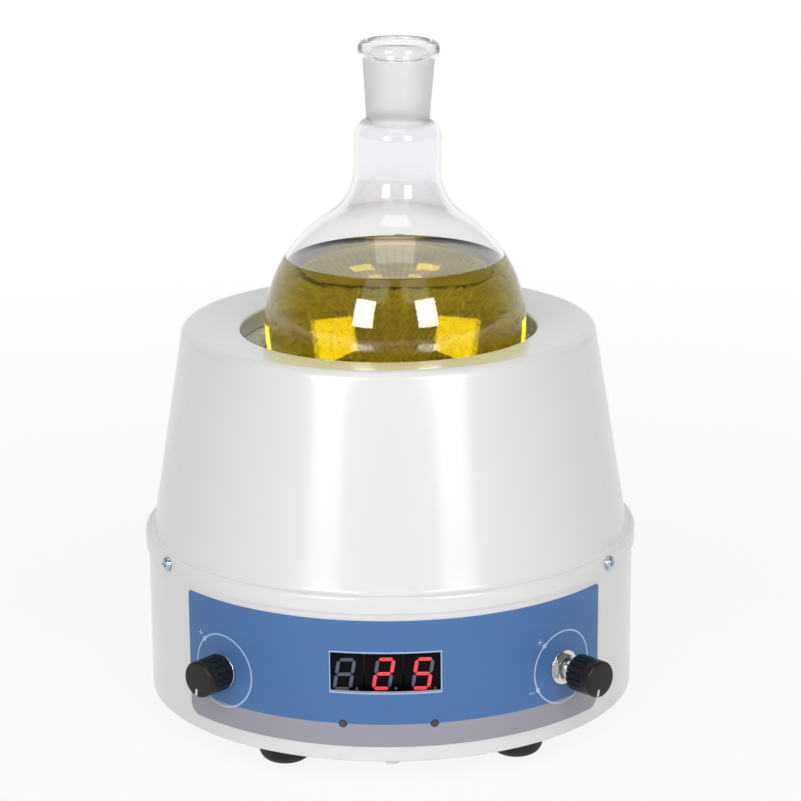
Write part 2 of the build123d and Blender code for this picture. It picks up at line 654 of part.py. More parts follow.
def liquid():
    """Oil in the bulb, up to its level surface."""
    ball = Pos(SEAT_OFFSET_X, 0, BULB_HEIGHT) * Sphere(BULB_RADIUS - GLASS_WALL - LIQUID_CLEARANCE)
    air = Pos(SEAT_OFFSET_X, 0, LIQUID_HEIGHT) * Cylinder(
        BULB_RADIUS, 2 * BULB_RADIUS, align=(Align.CENTER, Align.CENTER, Align.MIN))
    return ball - air


def heating_bowl():
    """Woven bowl: a rim under the collar, a rounded lip and a round seat for the bulb."""
    lip_height = BOWL_TOP - BOWL_LIP_ROUND - BULB_HEIGHT
    lip_radius = sqrt((BOWL_RADIUS + BOWL_LIP_ROUND)**2 - lip_height**2)
    down = degrees(atan2(-lip_height, lip_radius))
    inner_seat = CenterArc((0, 0), BOWL_RADIUS, -90, 90 - down)
    outer_seat = CenterArc((0, 0), BOWL_OUTER_RADIUS, -90, 90 - down)
    inner_lip = CenterArc((lip_radius, lip_height), BOWL_LIP_ROUND, 90, 90 - down)
    outer_lip = CenterArc((lip_radius, lip_height), BOWL_LIP_ROUND - BOWL_WALL, 90, 90 - down)
    top = BOWL_TOP - BULB_HEIGHT
    rim = Polyline((lip_radius, top), (BOWL_RIM_RADIUS, top), (BOWL_RIM_RADIUS, top - BOWL_WALL),
                   (lip_radius, top - BOWL_WALL))
    floor = Line((0, -BOWL_RADIUS), (0, -BOWL_OUTER_RADIUS))
    lines = (inner_seat, inner_lip, rim, outer_lip, outer_seat, floor)
    section = make_face([edge for line in lines for edge in line.edges()])
    return Pos(SEAT_OFFSET_X, 0, BULB_HEIGHT) * revolve(Plane.XZ * section, Axis.Z)


def heating_turns():
    """Turns of the sheathed element, sewn round the outside of the bowl."""
    turns = []
    for index in range(ELEMENT_TURNS):
        down = radians(ELEMENT_FIRST_ANGLE + ELEMENT_STEP * index)
        height = BULB_HEIGHT - ELEMENT_PATH_RADIUS * sin(down)
        turn = Torus(ELEMENT_PATH_RADIUS * cos(down), ELEMENT_DIAMETER / 2)
        turns.append(Pos(SEAT_OFFSET_X, 0, height) * turn)
    return turns


def probe_plane():
    """Plane on the probe's axis, under the bowl and pointing down and to the back."""
    tilt = radians(PROBE_TILT)
    outward = Vector(0, sin(tilt), -cos(tilt))
    return Plane(origin=Vector(SEAT_OFFSET_X, 0, BULB_HEIGHT), x_dir=(1, 0, 0), z_dir=outward)


def insulation_bowl():
    """Pressed wool between the element and the pan, with a bore for the probe."""
    gap = LAYER_GAP
    outer = Pos(0, 0, BULB_HEIGHT) * Sphere(INSULATION_OUTER_RADIUS)
    cavity = Pos(SEAT_OFFSET_X, 0, BULB_HEIGHT) * Sphere(INSULATION_INNER_RADIUS)
    top = Pos(0, 0, INSULATION_TOP) * Cylinder(
        PAN_RADIUS, 2 * PAN_RADIUS, align=(Align.CENTER, Align.CENTER, Align.MIN))
    bore = rod(probe_plane(), PROBE_RADIUS + gap, BOWL_RADIUS, PAN_RADIUS + PAN_RADIUS)
    return outer - cavity - top - bore


def temperature_probe():
    """Sheathed probe that touches the bowl's outside through the insulation and the pan."""
    start = BOWL_OUTER_RADIUS + LAYER_GAP
    return rod(probe_plane(), PROBE_RADIUS, start, start + PROBE_LENGTH)


def inner_pan():
    """Spun pan with a rim that hangs from the cover's studs."""
    drop = PAN_RIM_HEIGHT - BULB_HEIGHT
    inner_edge = asin(-drop / PAN_INNER_RADIUS)
    outer_edge = asin(-drop / PAN_RADIUS)
    inner = CenterArc((0, 0), PAN_INNER_RADIUS, -90, 90 - degrees(inner_edge))
    outer = CenterArc((0, 0), PAN_RADIUS, -90, 90 - degrees(outer_edge))
    inner_x = PAN_INNER_RADIUS * cos(inner_edge)
    lip = drop + PAN_WALL
    rim = Polyline((PAN_RADIUS * cos(outer_edge), drop), (PAN_RIM_RADIUS, drop), (PAN_RIM_RADIUS, lip),
                   (inner_x, lip), (inner_x, drop))
    floor = Line((0, -PAN_INNER_RADIUS), (0, -PAN_RADIUS))
    section = make_face([edge for line in (outer, rim, inner, floor) for edge in line.edges()])
    pan = Pos(0, 0, BULB_HEIGHT) * revolve(Plane.XZ * section, Axis.Z)
    for spot in pan_stud_places():
        pan -= rod(above(spot, PAN_RIM_HEIGHT), M3_RADIUS + HOLE_CLEARANCE, -CUT_OVERRUN,
                   PAN_WALL + CUT_OVERRUN)
    return pan - rod(probe_plane(), PROBE_RADIUS + LAYER_GAP, BOWL_RADIUS, 2 * PAN_RADIUS)


def pan_stud(spot):
    """Stud welded under the cover's top, with a shoulder that the pan's rim meets."""
    slope = (SHOULDER_HEIGHT - MOUTH_HEIGHT) / (SHOULDER_RADIUS - MOUTH_RADIUS)
    under = MOUTH_HEIGHT + slope * (PAN_STUD_CIRCLE - M3_HEAD_RADIUS - MOUTH_RADIUS) - COVER_WALL - LAYER_GAP
    lip = PAN_RIM_HEIGHT + PAN_WALL
    end = PAN_RIM_HEIGHT - M3_NUT_HEIGHT - END_PROUD
    return rod(above(spot, 0), M3_HEAD_RADIUS, lip, under) + rod(above(spot, 0), M3_RADIUS, end, lip)


def control_panel():
    """Printed sheet round the front, with rounded corners and its openings."""
    middle = Pos((PANEL_INNER_RADIUS + PANEL_RADIUS) / 2, (PANEL_TOP + PANEL_BOTTOM) / 2)
    section = Plane.XZ * middle * Rectangle(PANEL_THICKNESS, PANEL_TOP - PANEL_BOTTOM)
    sheet = revolve(section, Axis.Z, PANEL_RIGHT_AZIMUTH - PANEL_LEFT_AZIMUTH)
    sheet = Rot(0, 0, PANEL_LEFT_AZIMUTH - 90) * sheet
    sheet = fillet(sheet.edges().filter_by(GeomType.LINE).sort_by(Axis.Z)[-2:], PANEL_TOP_CORNER)
    sheet = fillet(sheet.edges().filter_by(GeomType.LINE).sort_by(Axis.Z)[:2], PANEL_BOTTOM_CORNER)
    for cutter in front_cutters():
        sheet -= cutter
    return sheet


def segment_shapes():
    """Outlines of one digit's seven bars, named a to g, slanted to the right."""
    reach_x = (SEGMENT_WIDTH - SEGMENT_STROKE) / 2
    reach_z = (SEGMENT_HEIGHT - SEGMENT_STROKE) / 2
    half = SEGMENT_STROKE / 2
    slant = tan(radians(SEGMENT_SLANT_ANGLE))

    def outline(x, z, length, upright):
        """Six-sided bar with pointed ends."""
        tip = length / 2 - SEGMENT_GAP
        flank = tip - half
        points = [(-tip, 0), (-flank, half), (flank, half), (tip, 0), (flank, -half), (-flank, -half)]
        if upright:
            points = [(-b, a) for a, b in points]
        return make_face(Polyline(*[(x + a + (z + b) * slant, z + b) for a, b in points], close=True))

    across = 2 * reach_x
    return {"a": outline(0, reach_z, across, False),
            "b": outline(reach_x, reach_z / 2, reach_z, True),
            "c": outline(reach_x, -reach_z / 2, reach_z, True),
            "d": outline(0, -reach_z, across, False),
            "e": outline(-reach_x, -reach_z / 2, reach_z, True),
            "f": outline(-reach_x, reach_z / 2, reach_z, True),
            "g": outline(0, 0, across, False)}


def digit_places():
    """Front planes at the three digits' centres, from left to right."""
    middle = (DIGIT_COUNT - 1) / 2
    return [front(DIGIT_CENTRE_X + DIGIT_PITCH * (index - middle), DIGIT_CENTRE_Z)
            for index in range(DIGIT_COUNT)]


def point_shape(growth=0.0):
    """Outline of one digit's decimal point."""
    return Pos(POINT_X, POINT_RADIUS - SEGMENT_HEIGHT / 2) * Circle(POINT_RADIUS + growth)


def digit_module(place):
    """Black display block with pockets for its bars and its point."""
    block = bar(place, MODULE_WIDTH, MODULE_HEIGHT, BOARD_FACE, DISPLAY_FACE)
    floor = place.offset(DISPLAY_FACE - SEGMENT_DEPTH)
    pockets = [offset(shape, SEGMENT_FIT) for shape in segment_shapes().values()] + [point_shape(SEGMENT_FIT)]
    for pocket in pockets:
        block -= extrude(floor * pocket, 2 * SEGMENT_DEPTH)
    return block


def display_bars(lit):
    """All bars that are lit, or all bars and points that are not."""
    bars = []
    for place, names in zip(digit_places(), LIT_BARS):
        floor = place.offset(DISPLAY_FACE - SEGMENT_DEPTH)
        for name, shape in segment_shapes().items():
            if (name in names) == lit:
                bars.append(extrude(floor * shape, SEGMENT_DEPTH))
        if not lit:
            bars.append(extrude(floor * point_shape(), SEGMENT_DEPTH))
    return bars


def display_board():
    """Circuit board behind the digits and the switches."""
    plane = front(WINDOW_CENTRE_X, (BOARD_TOP + BOARD_BOTTOM) / 2)
    board = bar(plane, BOARD_WIDTH, BOARD_TOP - BOARD_BOTTOM, BOARD_BACK, BOARD_FACE)
    for place in board_stud_places():
        board -= rod(place, BOARD_STUD_RADIUS + HOLE_CLEARANCE, BOARD_BACK - CUT_OVERRUN,
                     BOARD_FACE + CUT_OVERRUN)
    return board


def board_stud(place):
    """Stud welded inside the housing, with a shoulder for the board."""
    stud = rod(place, BOARD_SHOULDER_RADIUS, BOARD_FACE, HOUSING_RADIUS)
    stud &= Cylinder(HOUSING_INNER_RADIUS - PANEL_GLUE, 4 * HOUSING_TOP)
    return stud + rod(place, BOARD_STUD_RADIUS, BOARD_BACK - M3_NUT_HEIGHT - END_PROUD, BOARD_FACE)


def board_nut(place):
    """Nut that holds the board on its stud."""
    plane = place.offset(BOARD_BACK - M3_NUT_HEIGHT)
    return hex_nut(plane, M3_NUT_FLATS, M3_NUT_HEIGHT, BOARD_STUD_RADIUS + THREAD_CLEARANCE)


def push_switch(place):
    """Switch body on the board, with the bore that guides its button."""
    top = BOARD_FACE + SWITCH_DEPTH
    body = bar(place, SWITCH_SIZE, SWITCH_SIZE, BOARD_FACE, top)
    return body - rod(place, BUTTON_RADIUS + BUTTON_RUNNING_CLEARANCE, button_floor(), top + CUT_OVERRUN)


def button_floor():
    """Depth of the bottom of a switch's bore."""
    return BOARD_FACE + SWITCH_DEPTH - BUTTON_GUIDE - BUTTON_TRAVEL - BUTTON_DOME


def push_button(place):
    """Button stem that stands a little proud of the panel, with a domed end."""
    offset_x = place.origin.X
    end = sqrt(PANEL_RADIUS**2 - offset_x**2) + BUTTON_PROUD
    start = BOARD_FACE + SWITCH_DEPTH - BUTTON_GUIDE
    stem = rod(place, BUTTON_RADIUS, start, end)
    return fillet(stem.edges().sort_by(Axis.Y)[0], BUTTON_DOME)


def potentiometer(place):
    """Control body with its threaded bushing and three terminals."""
    back = POT_FACE - POT_DEPTH
    body = rod(place, POT_RADIUS, back, POT_FACE) + rod(place, BUSHING_RADIUS, POT_FACE, BUSHING_END)
    body -= rod(place, SHAFT_RADIUS + SHAFT_CLEARANCE, back + POT_DEPTH / 3, BUSHING_END + CUT_OVERRUN)
    middle = (POT_TERMINALS - 1) / 2
    for index in range(POT_TERMINALS):
        x = (index - middle) * POT_TERMINAL_PITCH
        length = POT_TERMINAL_LENGTH + POT_RADIUS / 2
        plane = place * Pos(x, -POT_RADIUS - POT_TERMINAL_LENGTH + length / 2, 0)
        start = back + POT_TERMINAL_INSET
        body += bar(Plane(plane), POT_TERMINAL_WIDTH, length, start, start + POT_TERMINAL_THICKNESS)
    return body


def control_shaft(place, knob_base):
    """Shaft that turns in the bushing and carries the knob."""
    return rod(place, SHAFT_RADIUS, POT_FACE - POT_DEPTH / 2, knob_base + KNOB_LENGTH - KNOB_CAP)


def knob(place, knob_base):
    """Fluted knob with a smooth collar, hollow below so that it clears the nut."""
    end = knob_base + KNOB_LENGTH
    plane = place.offset(end)
    blank = rod(place, KNOB_RADIUS, knob_base, end)
    face_edges = blank.edges().filter_by(GeomType.CIRCLE).sort_by_distance(plane.origin)
    blank = chamfer(face_edges[0], KNOB_EDGE)
    flute = Pos(KNOB_RADIUS, 0) * Circle(KNOB_FLUTE_RADIUS)
    flutes = Sketch() + [Rot(0, 0, 360 / KNOB_FLUTES * index) * flute for index in range(KNOB_FLUTES)]
    blank -= extrude(place.offset(knob_base - CUT_OVERRUN) * flutes, KNOB_FLUTE_LENGTH + CUT_OVERRUN)
    blank -= rod(place, KNOB_BORE_RADIUS, knob_base - CUT_OVERRUN, knob_base + KNOB_BORE_DEPTH)
    return blank - rod(place, SHAFT_RADIUS + PRESS_FIT, knob_base, end - KNOB_CAP + LAYER_GAP)


def rear_flange(azimuth, width, height, thickness):
    """Flange with rounded corners whose back follows the housing."""
    place = facing(azimuth, 0, INLET_HEIGHT)
    plate = extrude(place.offset(HOUSING_RADIUS - width) * RectangleRounded(width, height, INLET_CORNER / 2),
                    width + thickness)
    return plate - Cylinder(HOUSING_RADIUS + PANEL_GLUE, 4 * HOUSING_TOP)


def inlet_socket_shape():
    """Socket outline with its two cut corners."""
    half = INLET_SOCKET_WIDTH / 2
    low = -INLET_SOCKET_HEIGHT / 2
    high = INLET_SOCKET_HEIGHT / 2
    cut = INLET_SOCKET_CHAMFER
    points = [(-half, low), (half, low), (half, high - cut), (half - cut, high), (cut - half, high),
              (-half, high - cut)]
    return make_face(Polyline(*points, close=True))


def power_inlet():
    """Mains inlet: flange, body and the socket that takes the connector."""
    place = facing(INLET_AZIMUTH, 0, INLET_HEIGHT)
    flange = rear_flange(INLET_AZIMUTH, INLET_FLANGE_WIDTH, INLET_FLANGE_HEIGHT, INLET_FLANGE_THICKNESS)
    face = HOUSING_RADIUS + INLET_FLANGE_THICKNESS
    body = flange + bar(place, INLET_BODY_WIDTH, INLET_BODY_HEIGHT, face - INLET_BODY_DEPTH, face)
    well = place.offset(face - INLET_SOCKET_DEPTH) * inlet_socket_shape()
    body -= extrude(well, INLET_SOCKET_DEPTH + CUT_OVERRUN)
    for x, z in inlet_pin_places():
        pin = place * Pos(x, z, 0)
        body -= bar(Plane(pin), PIN_WIDTH, PIN_HEIGHT, face - INLET_BODY_DEPTH - CUT_OVERRUN, face)
    return body


def inlet_pin_places():
    """Local centres of the inlet's three pins."""
    return [(-PIN_PITCH, -PIN_RISE / 2), (PIN_PITCH, -PIN_RISE / 2), (0, PIN_RISE / 2)]


def inlet_pins():
    """Three flat pins through the inlet's floor."""
    place = facing(INLET_AZIMUTH, 0, INLET_HEIGHT)
    end = HOUSING_RADIUS + INLET_FLANGE_THICKNESS - INLET_SOCKET_DEPTH + PIN_LENGTH
    start = HOUSING_RADIUS + INLET_FLANGE_THICKNESS - INLET_BODY_DEPTH - PIN_TAIL
    return [bar(Plane(place * Pos(x, z, 0)), PIN_WIDTH, PIN_HEIGHT, start, end)
            for x, z in inlet_pin_places()]


def rocker_axis():
    """Plane across the rocker, whose normal is the pivot's axis."""
    place = facing(ROCKER_AZIMUTH, HOUSING_RADIUS + ROCKER_FRAME_THICKNESS - ROCKER_PIVOT_DEPTH, INLET_HEIGHT)
    return Plane(origin=place.origin, x_dir=place.z_dir, z_dir=place.x_dir)


def rocker_frame():
    """Switch body with a bezel, a well for the rocker and its pivot bores."""
    place = facing(ROCKER_AZIMUTH, 0, INLET_HEIGHT)
    face = HOUSING_RADIUS + ROCKER_FRAME_THICKNESS
    frame = rear_flange(ROCKER_AZIMUTH, ROCKER_FRAME_WIDTH, ROCKER_FRAME_HEIGHT, ROCKER_FRAME_THICKNESS)
    frame += bar(place, ROCKER_BODY_WIDTH, ROCKER_BODY_HEIGHT, face - ROCKER_BODY_DEPTH, face)
    width = ROCKER_WIDTH + 2 * ROCKER_CLEARANCE
    length = ROCKER_LENGTH + 2 * ROCKER_END_CLEARANCE
    frame -= bar(place, width, length, face - ROCKER_WELL_DEPTH, face + CUT_OVERRUN)
    pivot = rocker_axis()
    reach = ROCKER_BODY_WIDTH / 2 - ROCKER_CLEARANCE
    return frame - rod(pivot, ROCKER_PIVOT_RADIUS + ROCKER_PIVOT_CLEARANCE, -reach, reach)


def power_rocker():
    """Rocker with a dished face, thrown to on, with its two pivot pins."""
    pivot = rocker_axis()
    half = ROCKER_LENGTH / 2
    rise = half * tan(radians(ROCKER_THROW_ANGLE / 2))
    root = ROCKER_PIVOT_DEPTH - ROCKER_CLEARANCE
    face = ThreePointArc((root + rise, -half), (root - rise / 2, 0), (root + rise, half))
    flank = half - ROCKER_KEEL_INSET
    keel = Polyline((root + rise, half), (-root / 2, flank), (-ROCKER_KEEL_DEPTH, 0), (-root / 2, -flank),
                    (root + rise, -half))
    section = make_face(face.edges() + keel.edges())
    paddle = extrude(pivot.offset(-ROCKER_WIDTH / 2) * section, ROCKER_WIDTH)
    reach = ROCKER_BODY_WIDTH / 2 - 2 * ROCKER_CLEARANCE
    rocker = paddle + rod(pivot, ROCKER_PIVOT_RADIUS, -reach, reach)
    return rocker.rotate(Axis(pivot.origin, pivot.z_dir), -ROCKER_THROW_ANGLE / 2)


def motor_bridge():
    """Bent bridge over the plate that the motor hangs from."""
    half = BRIDGE_HALF_SPAN
    reach = half + BRIDGE_FOOT
    floor = PLATE_TOP + BRIDGE_SHEET
    path = [(reach, floor), (half, floor), (half, BRIDGE_TOP), (-half, BRIDGE_TOP), (-half, floor),
            (-reach, floor)]
    bends = [BRIDGE_BEND - BRIDGE_SHEET, BRIDGE_BEND, BRIDGE_BEND, BRIDGE_BEND - BRIDGE_SHEET]
    section = bent_sheet(path, bends, BRIDGE_SHEET)
    bridge = extrude(Plane.XZ.offset(-BRIDGE_WIDTH / 2) * section, BRIDGE_WIDTH)
    bridge -= rod(Plane.XY, MOTOR_BOSS_RADIUS + HOLE_CLEARANCE, MOTOR_TOP - CUT_OVERRUN,
                  BRIDGE_TOP + CUT_OVERRUN)
    for spot in bridge_screw_places():
        bridge -= rod(above(spot, PLATE_TOP), M3_RADIUS + THREAD_CLEARANCE, -CUT_OVERRUN,
                      BRIDGE_SHEET + CUT_OVERRUN)
    for spot in motor_screw_places():
        bridge -= rod(above(spot, MOTOR_TOP), M3_RADIUS + HOLE_CLEARANCE, -CUT_OVERRUN,
                      BRIDGE_SHEET + CUT_OVERRUN)
    return bridge


def motor_screw_places():
    """Centres of the two screws that hold the motor."""
    return [Vector(side * MOTOR_SCREW_CIRCLE, 0, 0) for side in (-1, 1)]


def stir_motor():
    """Motor can with its boss, shaft bore and tapped holes."""
    motor = rod(Plane.XY, MOTOR_RADIUS, MOTOR_TOP - MOTOR_LENGTH, MOTOR_TOP)
    motor = chamfer(motor.edges().sort_by(Axis.Z)[0], BRIDGE_SHEET)
    motor += rod(Plane.XY, MOTOR_BOSS_RADIUS, MOTOR_TOP, MOTOR_TOP + MOTOR_BOSS_HEIGHT)
    bore = MOTOR_SHAFT_RADIUS + MOTOR_SHAFT_CLEARANCE
    motor -= rod(Plane.XY, bore, MOTOR_TOP - MOTOR_SHAFT_DEPTH - CUT_OVERRUN,
                 BRIDGE_TOP + MOTOR_BOSS_HEIGHT + CUT_OVERRUN)
    for spot in motor_screw_places():
        motor -= rod(above(spot, MOTOR_TOP), M3_RADIUS + THREAD_CLEARANCE, -MOTOR_SHAFT_DEPTH / 2,
                     CUT_OVERRUN)
    return motor


def magnet_places():
    """Centres of the two magnets on the carrier."""
    return [Vector(side * MAGNET_SPREAD, 0, 0) for side in (-1, 1)]


def magnet_carrier():
    """Disc with a hub below and two magnet pockets above."""
    plate_bottom = CARRIER_BOTTOM + CARRIER_HUB_HEIGHT
    top = plate_bottom + CARRIER_THICKNESS
    carrier = rod(Plane.XY, CARRIER_RADIUS, plate_bottom, top) + rod(
        Plane.XY, CARRIER_HUB_RADIUS, CARRIER_BOTTOM, plate_bottom)
    carrier -= rod(Plane.XY, MOTOR_SHAFT_RADIUS + PRESS_FIT, CARRIER_BOTTOM - CUT_OVERRUN,
                   top + CUT_OVERRUN)
    for spot in magnet_places():
        carrier -= rod(above(spot, top), MAGNET_RADIUS + MAGNET_FIT, -MAGNET_POCKET_DEPTH,
                       CUT_OVERRUN)
    return carrier


def stirrer_magnets():
    """Two disc magnets in the carrier's pockets."""
    return [rod(above(spot, SHAFT_TOP - MAGNET_POCKET_DEPTH), MAGNET_RADIUS, 0, MAGNET_HEIGHT)
            for spot in magnet_places()]


def power_board():
    """Circuit board on four pillars."""
    plane = above(Vector(POWER_BOARD_X, POWER_BOARD_Y, 0), POWER_BOARD_BOTTOM)
    board = bar(plane, POWER_BOARD_WIDTH, POWER_BOARD_LENGTH, 0, BOARD_THICKNESS)
    for spot in pillar_places():
        board -= rod(above(spot, POWER_BOARD_BOTTOM), M3_RADIUS + HOLE_CLEARANCE, -CUT_OVERRUN,
                     BOARD_THICKNESS + CUT_OVERRUN)
    return board


def board_pillar(spot):
    """Pillar with a stud at each end, through the plate and through the board."""
    pillar = rod(above(spot, PLATE_TOP), PILLAR_RADIUS, 0, PILLAR_HEIGHT)
    return pillar + rod(above(spot, 0), M3_RADIUS, HOUSING_BOTTOM, POWER_BOARD_TOP + END_PROUD)


def power_transformer():
    """Laminated core through a wound bobbin."""
    y = POWER_BOARD_Y - POWER_BOARD_LENGTH / 2 + PILLAR_INSET + PILLAR_RADIUS + TRANSFORMER_LENGTH / 2
    place = above(Vector(POWER_BOARD_X, y, 0), POWER_BOARD_TOP)
    core = bar(place, TRANSFORMER_CORE_WIDTH, TRANSFORMER_LENGTH, 0, TRANSFORMER_HEIGHT)
    inset = TRANSFORMER_LENGTH / 5
    lift = TRANSFORMER_HEIGHT / 6
    bobbin_length = TRANSFORMER_LENGTH - 2 * inset
    return core + bar(place, TRANSFORMER_WIDTH, bobbin_length, lift, TRANSFORMER_HEIGHT - lift)


def triac_heatsink():
    """Finned extrusion that cools the heater's triac."""
    y = POWER_BOARD_Y + POWER_BOARD_LENGTH / 2 - PILLAR_INSET - PILLAR_RADIUS - HEATSINK_DEPTH / 2
    place = above(Vector(POWER_BOARD_X, y, 0), POWER_BOARD_TOP)
    base = place * Pos(0, HEATSINK_BASE / 2 - HEATSINK_DEPTH / 2, 0)
    sink = bar(Plane(base), HEATSINK_WIDTH, HEATSINK_BASE, 0, HEATSINK_HEIGHT)
    pitch = (HEATSINK_WIDTH - HEATSINK_FIN_THICKNESS) / (HEATSINK_FINS - 1)
    for index in range(HEATSINK_FINS):
        x = (index - (HEATSINK_FINS - 1) / 2) * pitch
        sink += bar(Plane(place * Pos(x, 0, 0)), HEATSINK_FIN_THICKNESS, HEATSINK_DEPTH, 0, HEATSINK_HEIGHT)
    return sink


def filter_capacitor():
    """Upright capacitor between the transformer and the heatsink."""
    y = (POWER_BOARD_Y + POWER_BOARD_LENGTH / 2 - PILLAR_INSET - PILLAR_RADIUS - HEATSINK_DEPTH
         - COMPONENT_SPACING - CAPACITOR_RADIUS)
    return rod(above(Vector(POWER_BOARD_X, y, 0), POWER_BOARD_TOP), CAPACITOR_RADIUS, 0, CAPACITOR_HEIGHT)


def housing_parts():
    """Housing, plate, cover and feet with their fasteners."""
    save("base_housing", base_housing())
    save("plate_ring", plate_ring())
    save("bottom_plate", bottom_plate())
    save("upper_cover", upper_cover())
    save("cover_screws", *[cover_screw(place) for place in cover_screw_places()])
    save("clip_nuts", *[clip_nut(place) for place in cover_screw_places()])
    for name, spot in foot_places().items():
        save(name, rubber_foot(spot))
    feet = list(foot_places().values())
    save("foot_screws", *[screw(below(spot, FOOT_WELL_DEPTH), M4_HEAD_RADIUS, M4_HEAD_DEPTH, M4_RADIUS,
                                PLATE_TOP + M4_NUT_HEIGHT + END_PROUD - FOOT_WELL_DEPTH) for spot in feet])
    save("foot_nuts", *[hex_nut(above(spot, PLATE_TOP), M4_NUT_FLATS, M4_NUT_HEIGHT,
                                M4_RADIUS + THREAD_CLEARANCE) for spot in feet])
    length = RING_TOP + END_PROUD - HOUSING_BOTTOM
    save("plate_screws", *[plate_fastener(spot, length) for spot in plate_screw_places()])


def heating_parts():
    """Flask and liquid, bowl, element, insulation, pan and probe."""
    save("flask", flask())
    save("liquid", liquid())
    save("heating_bowl", heating_bowl())
    save("heating_element", *heating_turns())
    save("insulation_bowl", insulation_bowl())
    save("temperature_probe", temperature_probe())
    save("inner_pan", inner_pan())
    save("pan_studs", *[pan_stud(spot) for spot in pan_stud_places()])
    save("pan_nuts", *[hex_nut(above(spot, PAN_RIM_HEIGHT - M3_NUT_HEIGHT), M3_NUT_FLATS, M3_NUT_HEIGHT,
                               M3_RADIUS + THREAD_CLEARANCE) for spot in pan_stud_places()])


def display_parts():
    """Panel, display, board, switches and buttons."""
    save("control_panel", control_panel())
    for name, place in zip(("left", "middle", "right"), digit_places()):
        save("digit_" + name, digit_module(place))
    save("lit_bars", *display_bars(True))
    save("unlit_bars", *display_bars(False))
    save("display_board", display_board())
    save("board_studs", *[board_stud(place) for place in board_stud_places()])
    save("board_nuts", *[board_nut(place) for place in board_stud_places()])
    for name, place in button_places().items():
        save(name + "_switch", push_switch(place))
        save(name + "_button", push_button(place))


def control_parts():
    """Both potentiometers with washers, nuts, shafts and knobs."""
    bases = {"speed": SPEED_KNOB_BASE, "heat": HEAT_KNOB_BASE}
    for name, place in pot_places().items():
        save(name + "_pot", potentiometer(place))
        save(name + "_shaft", control_shaft(place, bases[name]))
        save(name + "_knob", knob(place, bases[name]))
    places = list(pot_places().values())
    washer = Circle(WASHER_RADIUS) - Circle(BUSHING_RADIUS + THREAD_CLEARANCE)
    save("pot_washers", *[extrude(place.offset(WASHER_BACK) * washer, WASHER_THICKNESS) for place in places])
    save("pot_nuts", *[hex_nut(place.offset(NUT_BACK), POT_NUT_FLATS, POT_NUT_HEIGHT,
                               BUSHING_RADIUS + THREAD_CLEARANCE) for place in places])


def rear_parts():
    """Mains inlet and rocker switch."""
    save("power_inlet", power_inlet())
    save("inlet_pins", *inlet_pins())
    save("rocker_frame", rocker_frame())
    save("power_rocker", power_rocker())


def stirrer_parts():
    """Bridge, motor, shaft, carrier, magnets and their screws."""
    save("motor_bridge", motor_bridge())
    save("stir_motor", stir_motor())
    save("motor_shaft", rod(Plane.XY, MOTOR_SHAFT_RADIUS, MOTOR_TOP - MOTOR_SHAFT_DEPTH, SHAFT_TOP))
    save("magnet_carrier", magnet_carrier())
    save("stirrer_magnets", *stirrer_magnets())
    save("motor_screws", *[screw(above(spot, BRIDGE_TOP), M3_HEAD_RADIUS, M3_HEAD_DEPTH, M3_RADIUS,
                                 BRIDGE_SHEET + MOTOR_SHAFT_DEPTH / 3) for spot in motor_screw_places()])
    length = PLATE_THICKNESS + BRIDGE_SHEET + END_PROUD
    save("bridge_screws", *[plate_fastener(spot, length) for spot in bridge_screw_places()])


def power_parts():
    """Power board with its pillars and larger components."""
    save("power_board", power_board())
    save("board_pillars", *[board_pillar(spot) for spot in pillar_places()])
    save("power_transformer", power_transformer())
    save("triac_heatsink", triac_heatsink())
    save("filter_capacitor", filter_capacitor())


os.makedirs("parts", exist_ok=True)
housing_parts()
heating_parts()
display_parts()
control_parts()
rear_parts()
stirrer_parts()
power_parts()
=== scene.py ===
import logging
from dataclasses import dataclass
from enum import Enum
from math import asin, atan2, cos, hypot, pi, radians, sin, sqrt, tan
from typing import ClassVar, Iterable, Optional, Sequence, Union

import bmesh
import bpy
from mathutils import Matrix, Vector


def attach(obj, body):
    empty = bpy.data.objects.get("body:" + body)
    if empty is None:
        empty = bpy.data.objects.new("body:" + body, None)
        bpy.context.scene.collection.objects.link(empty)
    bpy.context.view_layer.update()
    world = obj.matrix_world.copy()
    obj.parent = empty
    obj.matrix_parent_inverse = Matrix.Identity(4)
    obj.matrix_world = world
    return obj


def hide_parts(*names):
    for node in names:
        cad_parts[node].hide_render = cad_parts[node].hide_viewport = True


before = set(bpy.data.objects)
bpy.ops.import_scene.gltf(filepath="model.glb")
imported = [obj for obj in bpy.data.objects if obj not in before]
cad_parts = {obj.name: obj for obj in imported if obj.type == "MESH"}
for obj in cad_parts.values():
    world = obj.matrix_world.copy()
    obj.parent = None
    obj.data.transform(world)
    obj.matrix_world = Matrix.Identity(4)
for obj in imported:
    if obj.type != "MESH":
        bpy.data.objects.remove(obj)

LOG = logging.getLogger("heating_mantle")
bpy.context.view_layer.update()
MM = 0.001
MM_PER_METRE = 1000.0
SAME_POINT = 1e-7
SAME_CAD_POINT = 2e-6
FLAT_ANGLE = radians(0.4)
BEVEL_ANGLE = radians(35)

Point = tuple[float, float]
Colour = tuple[float, float, float]
Value = Union[float, "Wire"]
Feed = Union[float, Sequence[float], "Wire", bpy.types.NodeSocket]


class Body(str, Enum):
    """Rigid bodies that the scene's own pieces ride on."""

    MANTLE = "mantle"
    SPEED = "speed_control"
    HEAT = "heat_control"
    SET = "set_button_body"
    RUN = "run_button_body"
    ROCKER = "rocker"


